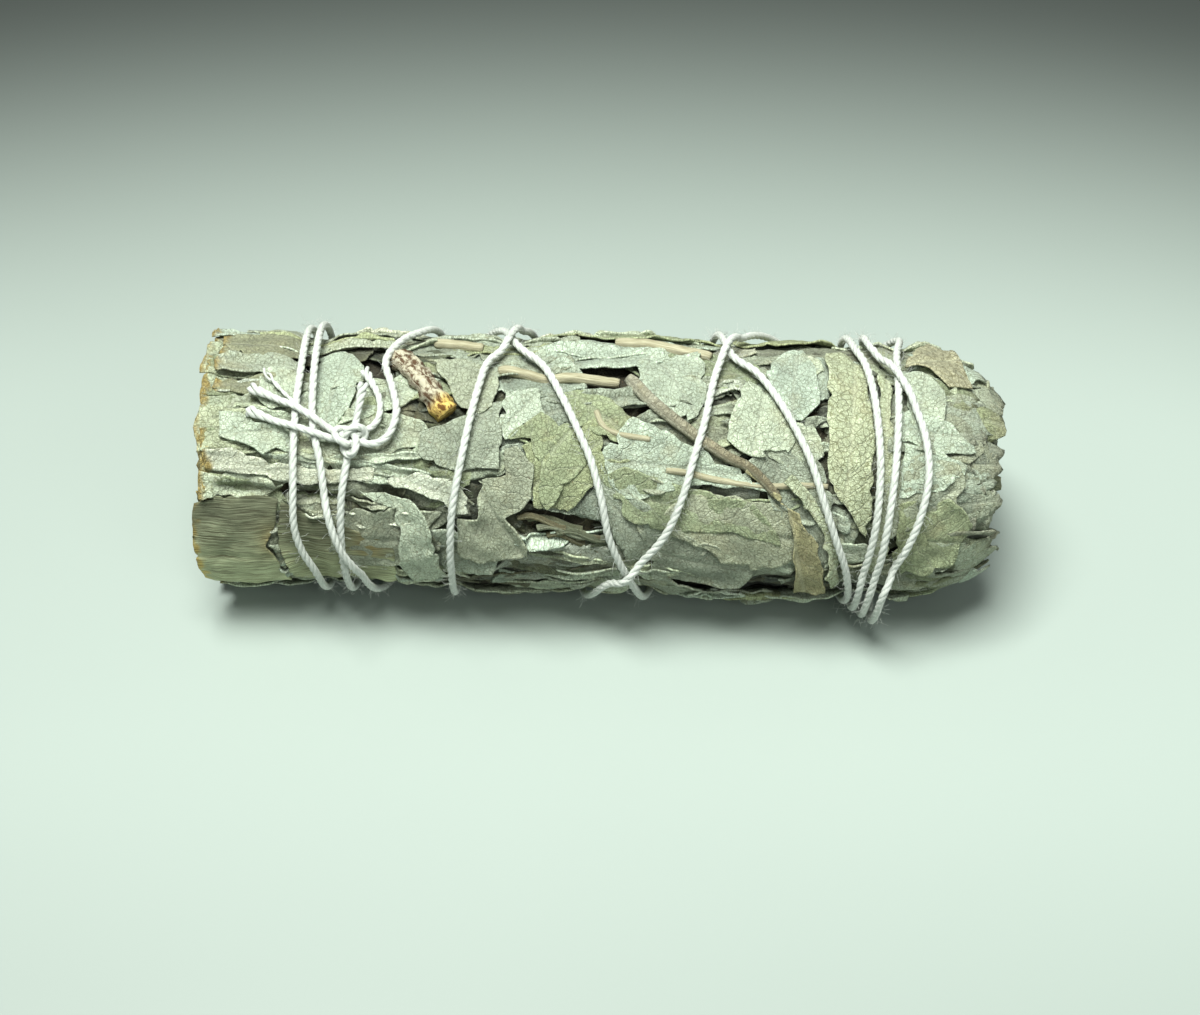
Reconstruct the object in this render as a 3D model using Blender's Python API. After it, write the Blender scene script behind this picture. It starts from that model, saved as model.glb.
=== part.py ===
"""Dried sage bunch: packed sage leaves on woody stems, bound round and round with one cotton string.

It lies on its side along X, cut stems at -X and leaf tips at +X. The tables are in millimetres and degrees:
"along" is X from the middle of the bunch, and "around" is 0 at the front (-Y), 90 on top and -90 underneath.
"""
import math
import random

import bmesh
import bpy
import numpy as np

MM = 0.001

# Driving dimensions, in millimetres
BUNCH_RADIUS = 16.2
AXIS_HEIGHT = 16.05
ALONG_SHIFT = -0.6
CUT_END = -47.4
CROWN_FOOT = 44.0
OUTER_LEAF_DEPTH = 0.4
LEAF_THICKNESS = 0.7
GAP = 0.3
BED_DEPTH = OUTER_LEAF_DEPTH + LEAF_THICKNESS + GAP
CLEAR_MARGIN = 2.5
STRING_DIAMETER = 1.15
STRING_REST_HEIGHT = 0.78
STRAND_SPACING = 1.5
SEED = 4

# Stretches of the underside that the bunch rests on
REST_PADS = [(-45, -38), (-14.5, -6), (13, 26)]
REST_PAD_HALF_ANGLE = math.radians(18)
REST_PAD_LEVEL = 0.5

# Radius of the pressed bunch at places along it
ENVELOPE_ALONG = [-50, -42, -33, -20, 0, 20, 34, 41, 45, 48, 51.5]
ENVELOPE_RADIUS = [15.9, 16.1, 15.9, 16.2, 16.2, 16.3, 16.1, 15.9, 14.9, 13.3, 10.8]

# Outlines of the large outer leaves, as (along, around)
OUTER_LEAVES = {
    "rolled_foot_leaf": [(-49.5, -34), (-49.7, -8), (-49.4, 12), (-48.8, 26), (-46, 30.5), (-41, 30), (-38.6, 28),
                         (-39, 14), (-40.2, 2), (-39.2, -12), (-38.6, -36), (-43, -40)],
    "lower_left_leaf": [(-38.2, 24), (-33, 15), (-27, 7), (-24.6, 3), (-24.8, -31), (-31, -36), (-37.9, -34),
                        (-38.5, -10), (-39.2, 3)],
    "pleated_foot_leaf": [(-47.4, 47), (-44.1, 48), (-40.4, 44), (-35.7, 40.5), (-30.2, 41), (-26.6, 41),
                          (-26.8, 36.4), (-31.5, 34), (-37.5, 33), (-40.4, 36), (-43.1, 38), (-47.2, 39.5)],
    "netted_foot_leaf": [(-46.2, 65.5), (-43.4, 64), (-39.6, 59.5), (-36.2, 57.5), (-36.2, 49.5), (-37.2, 46.5),
                         (-38.7, 49), (-40.2, 46.5), (-41.1, 49), (-43.4, 52), (-45.7, 53.5)],
    "flat_left_leaf": [(-34.9, 100), (-31.5, 102), (-28.6, 92), (-28.2, 83), (-31.6, 59), (-33.4, 54), (-34.4, 71)],
    "hanging_strip_leaf": [(-28.5, 31.5), (-25.3, 31), (-22.2, 28), (-20.5, 20), (-19.4, 2), (-18.3, -20),
                           (-22.5, -22), (-23.9, -7), (-23.5, 14), (-24.9, 24)],
    "folded_band_leaf": [(-25.6, 36.4), (-21.5, 40), (-17.3, 37.3), (-15.1, 29), (-14.9, 22), (-16.7, 21),
                         (-18.5, 28), (-20.4, 31.5), (-24, 34)],
    "broad_left_leaf": [(-12.8, 73), (-11.3, 72), (-11.3, 62), (-11.2, 42), (-16, 40.5), (-19.6, 43), (-21.3, 48),
                        (-21.1, 57), (-18.6, 60), (-15.5, 66)],
    "centre_leaf": [(-10.5, 55), (-6.4, 67), (-3, 63), (-0.5, 45), (-2.8, 37), (-5.4, 25), (-6.3, 29), (-6.5, 45),
                    (-8.4, 55.5)],
    "centre_low_leaf": [(-14, 37), (-10.6, 39.5), (-10.5, 50), (-9.3, 51.5), (-7.3, 44), (-7.1, 30), (-8.7, 24),
                        (-10.5, 20), (-7.6, 6), (-7.8, 0), (-13.6, -4), (-16.6, -5), (-16.4, 18), (-14.1, 19.5)],
    "midrib_leaf": [(0.9, 41), (4, 44), (10, 37), (14, 34), (19.5, 31), (21.5, 24), (23.2, 10), (18.3, 15),
                    (13.3, 16), (9.1, 13), (4.8, 20), (2.4, 29)],
    "torn_top_leaf": [(18, 81), (19, 89), (20.5, 85), (22, 77), (23.5, 66), (24.8, 57), (23.9, 51), (21.7, 53),
                      (20.7, 52), (21.3, 49.5), (20.4, 49), (18.4, 51.5), (16.2, 56), (16.5, 64), (17.1, 73)],
    "pale_top_leaf": [(20.9, 94), (23.7, 107), (25.7, 106), (27.2, 94), (27.8, 85), (27.7, 75), (26.6, 70),
                      (25.5, 66.5), (24.3, 68), (22.8, 78)],
    "wide_head_leaf": [(28.6, 106), (30.7, 109), (33.1, 101), (33.7, 92), (34, 77), (34.2, 64), (34.2, 42),
                       (34.2, 28), (33.8, 12), (33.1, 15), (31.2, 27), (28.8, 41), (28.6, 77)],
    "tan_head_leaf": [(34.9, 96), (36.4, 95), (36.6, 86), (36.5, 54), (36.9, 32), (36.7, 2), (34.9, -10),
                      (34.7, 6), (34.9, 28), (34.9, 58)],
    "folded_strip_leaf": [(23.3, 39), (25.3, 32), (27.2, 25), (28.6, 15), (29.6, 1), (30, -17), (31, -17),
                          (30.7, 4), (29.5, 18), (27.8, 29), (25.4, 38), (24.3, 42)],
    "ribbed_head_leaf": [(37.8, 58), (41, 56), (43.4, 52), (45.5, 48), (45.2, 44), (42.9, 37), (40.6, 34.5),
                         (37.6, 33)],
    "smooth_head_leaf": [(37.5, 30), (40.4, 31.5), (40.2, 23), (41.4, 11), (39.2, -8), (37.2, -14), (37.4, 6)],
    "tan_corner_leaf": [(38.4, 101), (39.7, 114), (42.6, 130), (45.1, 127), (46.1, 105), (46.7, 91), (45.6, 89),
                        (43.8, 88), (41.5, 98)],
    "pale_head_leaf": [(38.4, 97), (41, 94.5), (43.2, 85), (43, 77), (42.8, 68), (38.9, 66), (38.5, 77)],
}
TAN_LEAVES = {"wide_head_leaf", "tan_head_leaf", "tan_corner_leaf", "midrib_leaf", "folded_strip_leaf"}

# The leaf that hangs on a long stalk: its blade, and the stalk's route
STALKED_BLADE = [(19.2, 47), (20.8, 42), (22.9, 34), (24.6, 19), (25.2, 1), (25.6, -18), (29.2, -18), (28.6, 3),
                 (27.3, 15), (24.9, 25), (21.8, 35), (18.6, 43)]
STALK_ROUTE = [(4.3, 84), (6.6, 74), (9.4, 66), (13.1, 57), (16.2, 49.5), (18.8, 45.5), (20.6, 40.5)]
STALK_RADIUS = 0.62
STALK_RISE = 0.3

# Stems that lie on the outside, as (radius, route)
OUTER_STEMS = {
    "bark_stem": (0.95, [(-25.2, 101), (-23.2, 91), (-20.9, 79), (-18.4, 68)]),
    "tan_stem": (0.65, [(-11.9, 91), (-8.1, 88), (-3.1, 86), (0.7, 84.5), (3.1, 83.5)]),
    "slim_twig": (0.5, [(0.3, 69), (1.1, 62.5), (2.9, 58.5), (7, 56)]),
    "midrib_twig": (0.5, [(11.4, 42), (15, 39.5), (19.1, 37.5)]),
    "top_right_twig": (0.8, [(2.4, 115), (6.7, 112), (11.6, 107), (14.4, 103)]),
    "top_left_twig": (0.7, [(-20.4, 112), (-17.4, 109.5), (-14.2, 107)]),
}

# Woody stems that the bunch grew on, cut off at the left: (distance from the axis, around, radius, end)
CUT_STEMS = [(3.2, 40, 2.1, -48.3), (8.6, 75, 1.6, -47.9), (8.9, 150, 1.9, -48.6), (7.4, -130, 1.5, -48.1),
             (9.2, -60, 1.7, -48.4), (9.6, 5, 1.3, -47.9), (3.6, -150, 1.2, -48.2)]
CUT_STEM_DEPTH = 12.0

# The winding, one list a turn, as (along, around), down the front and up the back
WINDING = [
    [(-29.4, 53), (-29.9, 44), (-30.6, 28), (-30.9, 7), (-30.9, -21), (-30.9, -60), (-31.1, -105), (-31.6, -138),
     (-34.4, -165), (-36.9, -196)],
    [(-36.9, 132), (-36.5, 100), (-36.4, 85), (-36.5, 60), (-36.5, 35), (-36.6, 15), (-36, 2), (-34.5, -19),
     (-34.3, -60), (-34.6, -105), (-34.9, -165), (-35.1, -200)],
    [(-35.2, 132), (-34.8, 100), (-34.6, 80), (-34.3, 60), (-33.2, 43), (-32.6, 27), (-31.9, 16), (-30.8, 4),
     (-29.5, -7), (-28.7, -19), (-27.6, -45), (-25.6, -80), (-22.6, -120), (-19, -165), (-15, -205),
     (-12.2, -230)],
    [(-9.8, 105), (-6.5, 91), (-3.9, 74), (-1.8, 59), (-0.1, 46), (1.3, 29), (2.1, 14), (3.4, 0), (4.9, -15),
     (6.2, -35), (8, -75), (10, -120), (12.7, -165), (14.7, -205), (15.8, -238)],
    [(17, 100), (19.9, 89), (22.5, 75), (24.9, 60), (26.7, 47), (28.5, 29), (30.4, 11), (31.7, -1), (32.4, -12),
     (32.6, -25), (32.3, -45), (31.5, -90), (31.2, -150), (31.5, -200), (31.8, -230)],
    [(32.4, 110), (33.4, 97), (34.3, 78), (34.9, 55), (35, 40), (34.8, 22), (34.3, 5), (34, -10), (34.1, -25),
     (33.9, -45), (33.4, -90), (33.5, -150), (34.2, -175), (36.4, -200), (38.2, -222)],
    [(38.4, 125), (37.5, 104), (37.3, 80), (37, 55), (36.5, 35), (36, 18), (35.7, 5), (35.5, -10), (35.6, -25),
     (35.4, -45), (35.1, -90), (35.4, -150), (35.6, -178), (34.6, -205), (33.9, -228)],
    [(33.9, 116), (34.5, 106), (36.9, 90), (39, 75), (40.4, 60), (40.9, 43), (40.1, 25), (38.9, 8), (37.6, -4),
     (37.1, -15), (37, -45), (36.9, -95), (36.4, -125), (35.2, -141), (32.5, -160), (28, -185), (22.5, -215),
     (17.8, -245)],
    [(16, 100), (14.8, 86), (13.6, 64), (12.4, 49), (11, 31), (9, 14), (5.7, -3), (3.1, -14), (0.9, -25),
     (-1, -50), (-2.6, -90), (-4.6, -140), (-6.6, -180), (-8.1, -205), (-9.3, -230)],
    [(-11.1, 105), (-13.3, 92), (-14.1, 80), (-15, 64), (-16, 45), (-17, 25), (-17.4, 5), (-17.5, -15),
     (-17.7, -45), (-18, -90), (-18.4, -130), (-19.2, -165), (-20.3, -205)],
    [(-21.8, 126), (-24.4, 109), (-26, 92), (-24.9, 78), (-24.1, 66), (-24.8, 56), (-26.6, 51.5), (-28.9, 52)],
]

# Short loose ends beside the knot: (radius, rise of the free end, route)
KNOT_PLACE = (-29.4, 53)
STRING_ENDS = {
    "long_end": (0.55, 0.3, [(-30, 54), (-31.4, 56), (-33.6, 60.5), (-36.2, 65.5), (-38.8, 69.5), (-42.2, 74)]),
    "lower_end": (0.55, 0.2, [(-30, 52.5), (-32, 53.5), (-34.2, 55.5), (-36.8, 58), (-39.3, 60.5), (-42.2, 64)]),
    "thin_ply": (0.35, 0.5, [(-36, 65.5), (-37.3, 70), (-38.9, 76), (-40.8, 83)]),
    "doubled_end": (0.5, 0.4, [(-28.9, 54), (-27.6, 57), (-26.4, 61), (-26.1, 67), (-26.6, 74), (-28.4, 85)]),
    "standing_end": (0.55, 2.6, [(-29.2, 54), (-28.9, 60), (-28.5, 67), (-28.1, 74)]),
}

# Colour, roughness of each finish
FINISHES = {
    "sage leaf": ((0.36, 0.40, 0.31), 0.85),
    "tan leaf": ((0.45, 0.43, 0.30), 0.85),
    "woody stem": ((0.50, 0.39, 0.22), 0.75),
    "bark": ((0.16, 0.09, 0.05), 0.85),
    "cotton string": ((0.86, 0.86, 0.82), 0.9),
}


def start_empty():
    for thing in list(bpy.data.objects):
        bpy.data.objects.remove(thing, do_unlink=True)


def new_collection(name):
    made = bpy.data.collections.new(name)
    bpy.context.scene.collection.children.link(made)
    return made


def make_finish(name):
    colour, roughness = FINISHES[name]
    finish = bpy.data.materials.new(name)
    finish.use_nodes = True
    shader = finish.node_tree.nodes["Principled BSDF"]
    shader.inputs["Base Color"].default_value = (*colour, 1)
    shader.inputs["Roughness"].default_value = roughness
    shader.inputs["Metallic"].default_value = 0
    return finish


def envelope(along):
    """Radius of the pressed bunch at this place along it."""
    return float(np.interp(along, ENVELOPE_ALONG, ENVELOPE_RADIUS))


def in_space(along, around, radius):
    """Point in metres, from millimetres along and from the axis, and radians around."""
    return ((along + ALONG_SHIFT) * MM, -radius * math.cos(around) * MM, (AXIS_HEIGHT + radius * math.sin(around)) * MM)


def object_from(bm, name, home, finish=None):
    bmesh.ops.recalc_face_normals(bm, faces=bm.faces[:])
    if bm.calc_volume(signed=True) < 0:
        bmesh.ops.reverse_faces(bm, faces=bm.faces[:])
    mesh = bpy.data.meshes.new(name)
    bm.to_mesh(mesh)
    bm.free()
    made = bpy.data.objects.new(name, mesh)
    home.objects.link(made)
    if finish:
        mesh.materials.append(finish)
    return made


def thin_leaf(name, outline, radius_at, thickness, cuts, home, finish=None, middle=(0, 0, 0), bend=BUNCH_RADIUS):
    """Closed blade: a flat outline, split along the cuts, thickened, then wrapped round the axis.

    outline is (length, breadth) in millimetres, middle is (along, around, heading) in millimetres and degrees,
    cuts is (spacing on the length, spacing on the breadth), and bend is the radius that the breadth wraps on.
    """
    bm = bmesh.new()
    bm.faces.new([bm.verts.new((u, v, 0)) for u, v in outline])
    for axis in (0, 1):
        reach = [point[axis] for point in outline]
        spacing = cuts[axis]
        count = max(1, round((max(reach) - min(reach)) / spacing))
        normal = (1, 0, 0) if axis == 0 else (0, 1, 0)
        for step in range(1, count):
            place = min(reach) + (max(reach) - min(reach)) * step / count
            everything = bm.verts[:] + bm.edges[:] + bm.faces[:]
            bmesh.ops.bisect_plane(bm, geom=everything, dist=1e-4,
                                   plane_co=tuple(place * part for part in normal), plane_no=normal)
    bmesh.ops.triangulate(bm, faces=bm.faces[:])
    grown = bmesh.ops.extrude_face_region(bm, geom=bm.faces[:])["geom"]
    bmesh.ops.translate(bm, verts=[part for part in grown if isinstance(part, bmesh.types.BMVert)],
                        vec=(0, 0, -thickness))
    bmesh.ops.triangulate(bm, faces=bm.faces[:])
    along0, around0, heading = middle[0], math.radians(middle[1]), math.radians(middle[2])
    for vert in bm.verts:
        u, v, depth = vert.co
        along = along0 + u * math.cos(heading) - v * math.sin(heading)
        around = around0 + (u * math.sin(heading) + v * math.cos(heading)) / bend
        vert.co = in_space(along, around, radius_at(u, v, along) + depth)
    return object_from(bm, name, home, finish)


def flat_outline(places):
    """(along, around) places as flat millimetres on the unrolled bunch."""
    return [(along, math.radians(around) * BUNCH_RADIUS) for along, around in places]


def smooth_route(places, spacing):
    """Points every spacing or less on a smooth curve through the (along, around) places."""
    knots = np.array(places, dtype=float)
    knots[:, 1] = np.radians(knots[:, 1])
    ends = np.vstack([2 * knots[0] - knots[1], knots, 2 * knots[-1] - knots[-2]])
    points = []
    for a, b, c, d in zip(ends[:-3], ends[1:-2], ends[2:-1], ends[3:]):
        length = math.hypot(c[0] - b[0], (c[1] - b[1]) * BUNCH_RADIUS)
        for t in np.arange(0, 1, spacing / max(length, spacing)):
            points.append(0.5 * (2 * b + (c - a) * t + (2 * a - 5 * b + 4 * c - d) * t * t
                                 + (3 * b - a - 3 * c + d) * t ** 3))
    points.append(knots[-1])
    return np.array(points)


def tube(name, points, radius, home, finish=None, sides=2):
    """Round closed bar on a poly line of points in metres, as a mesh with its caps welded on."""
    curve = bpy.data.curves.new(name, "CURVE")
    curve.dimensions = "3D"
    curve.bevel_depth = radius * MM
    curve.bevel_resolution = sides
    curve.use_fill_caps = True
    spline = curve.splines.new("POLY")
    spline.points.add(len(points) - 1)
    for point, place in zip(spline.points, points):
        point.co = (*place, 1)
    holder = bpy.data.objects.new(name + "_curve", curve)
    home.objects.link(holder)
    shape = holder.evaluated_get(bpy.context.evaluated_depsgraph_get())
    mesh = bpy.data.meshes.new_from_object(shape)
    bm = bmesh.new()
    bm.from_mesh(mesh)
    bmesh.ops.remove_doubles(bm, verts=bm.verts[:], dist=1e-6)
    bpy.data.objects.remove(holder, do_unlink=True)
    bpy.data.meshes.remove(mesh)
    return object_from(bm, name, home, finish)


def boolean(target, pieces, operation):
    """Joins every object of the collection to the target, or cuts it with them, and removes them."""
    modifier = target.modifiers.new(operation.lower(), "BOOLEAN")
    modifier.operand_type = "COLLECTION"
    modifier.collection = pieces
    modifier.operation = operation
    modifier.solver = "MANIFOLD"
    shape = target.evaluated_get(bpy.context.evaluated_depsgraph_get())
    mesh = bpy.data.meshes.new_from_object(shape)
    target.modifiers.clear()
    old = target.data
    target.data = mesh
    bpy.data.meshes.remove(old)
    for piece in list(pieces.objects):
        bpy.data.objects.remove(piece, do_unlink=True)


def drop_scraps(target):
    """Leaves only the piece with the most corners."""
    bm = bmesh.new()
    bm.from_mesh(target.data)
    waiting = set(bm.verts)
    parts = []
    while waiting:
        part = [waiting.pop()]
        for vert in part:
            for edge in vert.link_edges:
                other = edge.other_vert(vert)
                if other in waiting:
                    waiting.remove(other)
                    part.append(other)
        parts.append(part)
    parts.sort(key=len)
    bmesh.ops.delete(bm, geom=[vert for part in parts[:-1] for vert in part], context="VERTS")
    bm.to_mesh(target.data)
    bm.free()


def turned_apart(one, other):
    """Angle from one direction round to another, between half a turn back and half a turn on."""
    return (one - other + math.pi) % (2 * math.pi) - math.pi


def near_outline(u, v, corners, margin):
    """True for the flat points inside the closed outline, or nearer to it than the margin."""
    near = np.zeros(u.shape, dtype=bool)
    apart = np.full(u.shape, np.inf)
    for (u0, v0), (u1, v1) in zip(corners, corners[1:] + corners[:1]):
        if v0 != v1:
            near ^= ((v0 > v) != (v1 > v)) & (u < u0 + (v - v0) * (u1 - u0) / (v1 - v0))
        length = math.hypot(u1 - u0, v1 - v0)
        share = np.clip(((u - u0) * (u1 - u0) + (v - v0) * (v1 - v0)) / length ** 2, 0, 1)
        apart = np.minimum(apart, np.hypot(u - u0 - share * (u1 - u0), v - v0 - share * (v1 - v0)))
    return near | (apart < margin)


def packed_leaf_level(along, around):
    """Level of the packed leaves against the envelope: each shingle rises from its root to its tip."""
    rough = random.Random(SEED)
    level = np.full(along.shape, -1.75)
    for row in range(8):
        for number in range(9):
            root = -49 + row * 11.5 + rough.uniform(-3, 3)
            direction = math.radians((number + 0.5 * (row % 2)) * 40 + rough.uniform(-10, 10))
            heading = math.radians(rough.uniform(-20, 20))
            length, breadth = rough.uniform(18, 25), rough.uniform(9, 13)
            u, v = along - root, turned_apart(around, direction) * BUNCH_RADIUS
            run = (u * math.cos(heading) + v * math.sin(heading)) / length
            across = v * math.cos(heading) - u * math.sin(heading)
            half = breadth / 2 * np.sqrt(np.clip(np.sin(math.pi * np.clip(run, 0, 1) ** 0.8), 0, 1))
            rise = -1.5 + 1.6 * run + 0.5 * (across / breadth * 2) ** 2 * run
            level = np.where((run > 0) & (run < 1) & (np.abs(across) < half), np.maximum(level, rise), level)
    underneath = np.abs(turned_apart(around, -math.pi / 2)) < REST_PAD_HALF_ANGLE
    for pad_start, pad_end in REST_PADS:
        level = np.where(underneath & (along > pad_start) & (along < pad_end), REST_PAD_LEVEL, level)
    return np.minimum(level, REST_PAD_LEVEL)


def press_down(level, along, around, things):
    """Keeps the packed leaves clear of every outer leaf, stem and strand that is bedded in them."""
    outlines, rods = things
    for outline in outlines:
        middle = sum(v for _, v in outline) / len(outline) / BUNCH_RADIUS
        v = (turned_apart(around, middle) + middle) * BUNCH_RADIUS
        bedded = near_outline(along, v, outline, CLEAR_MARGIN)
        level = np.where(bedded, np.minimum(level, -BED_DEPTH - 0.1), level)
    for places, heights, thickness in rods:
        for (rod_along, rod_around), height in zip(places, heights):
            apart = np.hypot(along - rod_along, turned_apart(around, rod_around) * BUNCH_RADIUS)
            floor = height - thickness - GAP - 0.1 - envelope(rod_along)
            level = np.where(apart < thickness + CLEAR_MARGIN, np.minimum(level, floor), level)
    return level


def crown_rings(around):
    """Rows of the right end: three crowns of leaf tips, one inside the other, as (along, radius) all round."""
    rings = []
    for tips, reach, share, phase in ((11, 49.6, 0.7, 0.3), (7, 49.8, 0.48, 1.1), (4, 49.3, 0.26, 2.0)):
        tooth = np.abs((tips * around / (2 * math.pi) + phase) % 1 * 2 - 1)
        uneven = 0.6 * np.sin(2 * around + phase) + 0.5 * np.sin(5 * around + 3 * phase)
        along = reach - 3.2 * tooth + uneven
        outer = BUNCH_RADIUS * share - 1.2 * (along - 44) / 5
        foot = np.full(around.shape, CROWN_FOOT + 0.4)
        rings += [(along, outer), (along - 0.2, outer - 0.8), (foot, outer - 1.4), (foot, outer - 2.2)]
    return rings


def make_bunch(home, finish, things):
    """The packed leaves as one closed body: a sleeve raised by every shingled leaf, with both ends closed."""
    sides, rows = 48, 72
    turn = np.arange(sides) * 2 * math.pi / sides
    stations = np.linspace(CUT_END, CROWN_FOOT, rows)
    along, around = np.meshgrid(stations, turn, indexing="ij")
    level = press_down(packed_leaf_level(along, around), along, around, things)
    hull = np.interp(along, ENVELOPE_ALONG, ENVELOPE_RADIUS)
    rings = [(np.full(sides, CUT_END + 0.4), (hull + level)[0] * 0.55),
             (CUT_END - 0.5 - 0.5 * np.sin(7 * turn), (hull + level)[0] * 0.8)]
    rings += list(zip(along, hull + level)) + crown_rings(turn)
    bm = bmesh.new()
    loops = []
    for ring_along, ring_radius in rings:
        points = [in_space(a, t, r) for a, t, r in zip(ring_along, turn, ring_radius)]
        loops.append([bm.verts.new((x, y, max(z, 0.0))) for x, y, z in points])
    for near, far in zip(loops, loops[1:]):
        for k in range(sides):
            a, b, c, d = near[k], near[(k + 1) % sides], far[(k + 1) % sides], far[k]
            for corners in ((a, b, c), (a, c, d)):
                bm.faces.new(corners)
    for loop, place in ((loops[0], CUT_END + 0.4), (loops[-1], CROWN_FOOT + 2)):
        middle = bm.verts.new(in_space(place, 0, 0))
        for k in range(sides):
            bm.faces.new((loop[k], loop[(k + 1) % sides], middle))
    return object_from(bm, "leaf_bunch", home, finish)


def string_points():
    """Winding in space: where a turn crosses an earlier one it climbs over it, and underneath it is pressed in."""
    places = []
    for turn, route in enumerate(WINDING):
        places += [(along, around - 360 * turn) for along, around in route]
    fine = smooth_route(places, 0.8)
    return climb(fine, None)


def climb(fine, laid):
    """Radius of each point of a route laid over the strands already there, and over its own earlier part."""
    flat = np.stack([fine[:, 0], fine[:, 1] * BUNCH_RADIUS], 1)
    run = np.concatenate([[0], np.cumsum(np.linalg.norm(np.diff(flat, axis=0), axis=1))])
    radius = np.interp(fine[:, 0], ENVELOPE_ALONG, ENVELOPE_RADIUS) + STRING_DIAMETER / 2 + 0.1
    low = np.maximum(-np.sin(fine[:, 1]), 0.2)
    radius = np.minimum(radius, (AXIS_HEIGHT - STRING_REST_HEIGHT) / low)
    slope = 0.42
    for index in range(len(fine)):
        if laid is None:
            before = run < run[index] - 12
            others, heights = fine[before], radius[before]
        else:
            others, heights = laid
        if not len(others):
            continue
        turned = turned_apart(others[:, 1], fine[index, 1])
        apart = np.hypot(others[:, 0] - fine[index, 0], turned * BUNCH_RADIUS)
        near = apart < STRAND_SPACING
        if near.any():
            top = np.max(heights[near] + np.sqrt(STRAND_SPACING ** 2 - apart[near] ** 2))
            around_it = np.abs(run - run[index]) < 8
            radius[around_it] = np.maximum(radius[around_it], top - slope * np.abs(run[around_it] - run[index]))
    return fine, radius


def thin_out(points, tolerance):
    """Leaves out the points that lie within the tolerance of the straight line between those kept."""
    keep, start = [0], 0
    for end in range(2, len(points)):
        line = points[end] - points[start]
        between = points[start + 1:end] - points[start]
        share = np.clip(between @ line / (line @ line), 0, 1)
        off = np.linalg.norm(between - share[:, None] * line, axis=1)
        if off.max() > tolerance:
            keep.append(end - 1)
            start = end - 1
    keep.append(len(points) - 1)
    return points[keep]


def to_space(fine, radius):
    """Points in metres, none lower than the string may lie under the bunch."""
    points = np.array([in_space(along, around, r) for (along, around), r in zip(fine, radius)])
    points[:, 2] = np.maximum(points[:, 2], STRING_REST_HEIGHT * MM)
    return points


def make_string(laid, home, pieces, finish):
    """The winding with its knot and loose ends as one body."""
    fine, radius = laid
    line = thin_out(to_space(fine, radius), 0.2 * MM)
    string = tube("binding_string", line, STRING_DIAMETER / 2, home, finish)
    for name, (thickness, rise, route) in STRING_ENDS.items():
        way, height = climb(smooth_route(route, 0.5), laid)
        height = height + rise * np.linspace(0, 1, len(height)) ** 1.5
        tube(name, thin_out(to_space(way, height), 0.12 * MM), thickness, pieces)
    tube("knot", knot_points(radius), STRING_DIAMETER / 2 - 0.03, pieces)
    boolean(string, pieces, "UNION")


def knot_points(radius):
    """A three-lobed overhand knot, flat on the bunch where the two ends of the winding meet."""
    size = 0.66
    points = []
    for t in np.linspace(0, 2 * math.pi, 25):
        out = radius[0] + 0.9 - size * math.sin(3 * t)
        along = KNOT_PLACE[0] + size * (math.sin(t) + 2 * math.sin(2 * t))
        arc = size * (math.cos(t) - 2 * math.cos(2 * t))
        points.append(in_space(along, math.radians(KNOT_PLACE[1]) + arc / BUNCH_RADIUS, out))
    return np.array(points)[:-1]


def stem_route(route, radius):
    """Places and distances from the axis of a stem bedded level with the outer leaves."""
    fine = smooth_route(route, 2.5)
    return fine, np.array([envelope(along) - OUTER_LEAF_DEPTH - radius for along, _ in fine])


def back_leaf_outlines():
    """Outer leaves of the sides that the front ones leave bare, in staggered columns."""
    rough = random.Random(SEED + 1)
    outlines = []
    for column, around in enumerate((134, 168, 202, 236, 303)):
        for row in range(4):
            middle = -34.5 + 19 * row + (9 if column % 2 else 0)
            arc = math.radians(around if around < 250 else around - 360) * BUNCH_RADIUS
            heading = math.radians(rough.uniform(-5, 5))
            length, breadth = rough.uniform(15.5, 17.2), rough.uniform(7.4, 8.2)
            side = [(-0.5, 0.14), (-0.36, 0.36), (-0.08, 0.48), (0.2, 0.42), (0.4, 0.22)]
            edge = [(u, v * rough.uniform(0.85, 1.0)) for u, v in side] + [(0.5, 0.0)]
            edge += [(u, -v * rough.uniform(0.85, 1.0)) for u, v in reversed(side)]
            outlines.append([(middle + u * length * math.cos(heading) - v * breadth * math.sin(heading),
                              arc + u * length * math.sin(heading) + v * breadth * math.cos(heading))
                             for u, v in edge])
    return outlines


def outer_leaf_outlines():
    """Name and flat outline of each leaf that lies free on the packed ones."""
    named = {name: flat_outline(places) for name, places in OUTER_LEAVES.items()}
    named["stalked_leaf"] = flat_outline(STALKED_BLADE)
    for number, outline in enumerate(back_leaf_outlines(), 1):
        named[f"back_leaf_{number}"] = outline
    return named


def make_outer_leaves(outlines, home, finishes):
    def face(u, v, along):
        return envelope(along) - OUTER_LEAF_DEPTH

    leaves = {}
    for name, outline in outlines.items():
        finish = finishes["tan leaf" if name in TAN_LEAVES else "sage leaf"]
        over_shoulder = max(along for along, _ in outline) > ENVELOPE_ALONG[7]
        cuts = (2.5 if over_shoulder else 9, 4.5)
        leaves[name] = thin_leaf(name, outline, face, LEAF_THICKNESS, cuts, home, finish)
    return leaves


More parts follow.
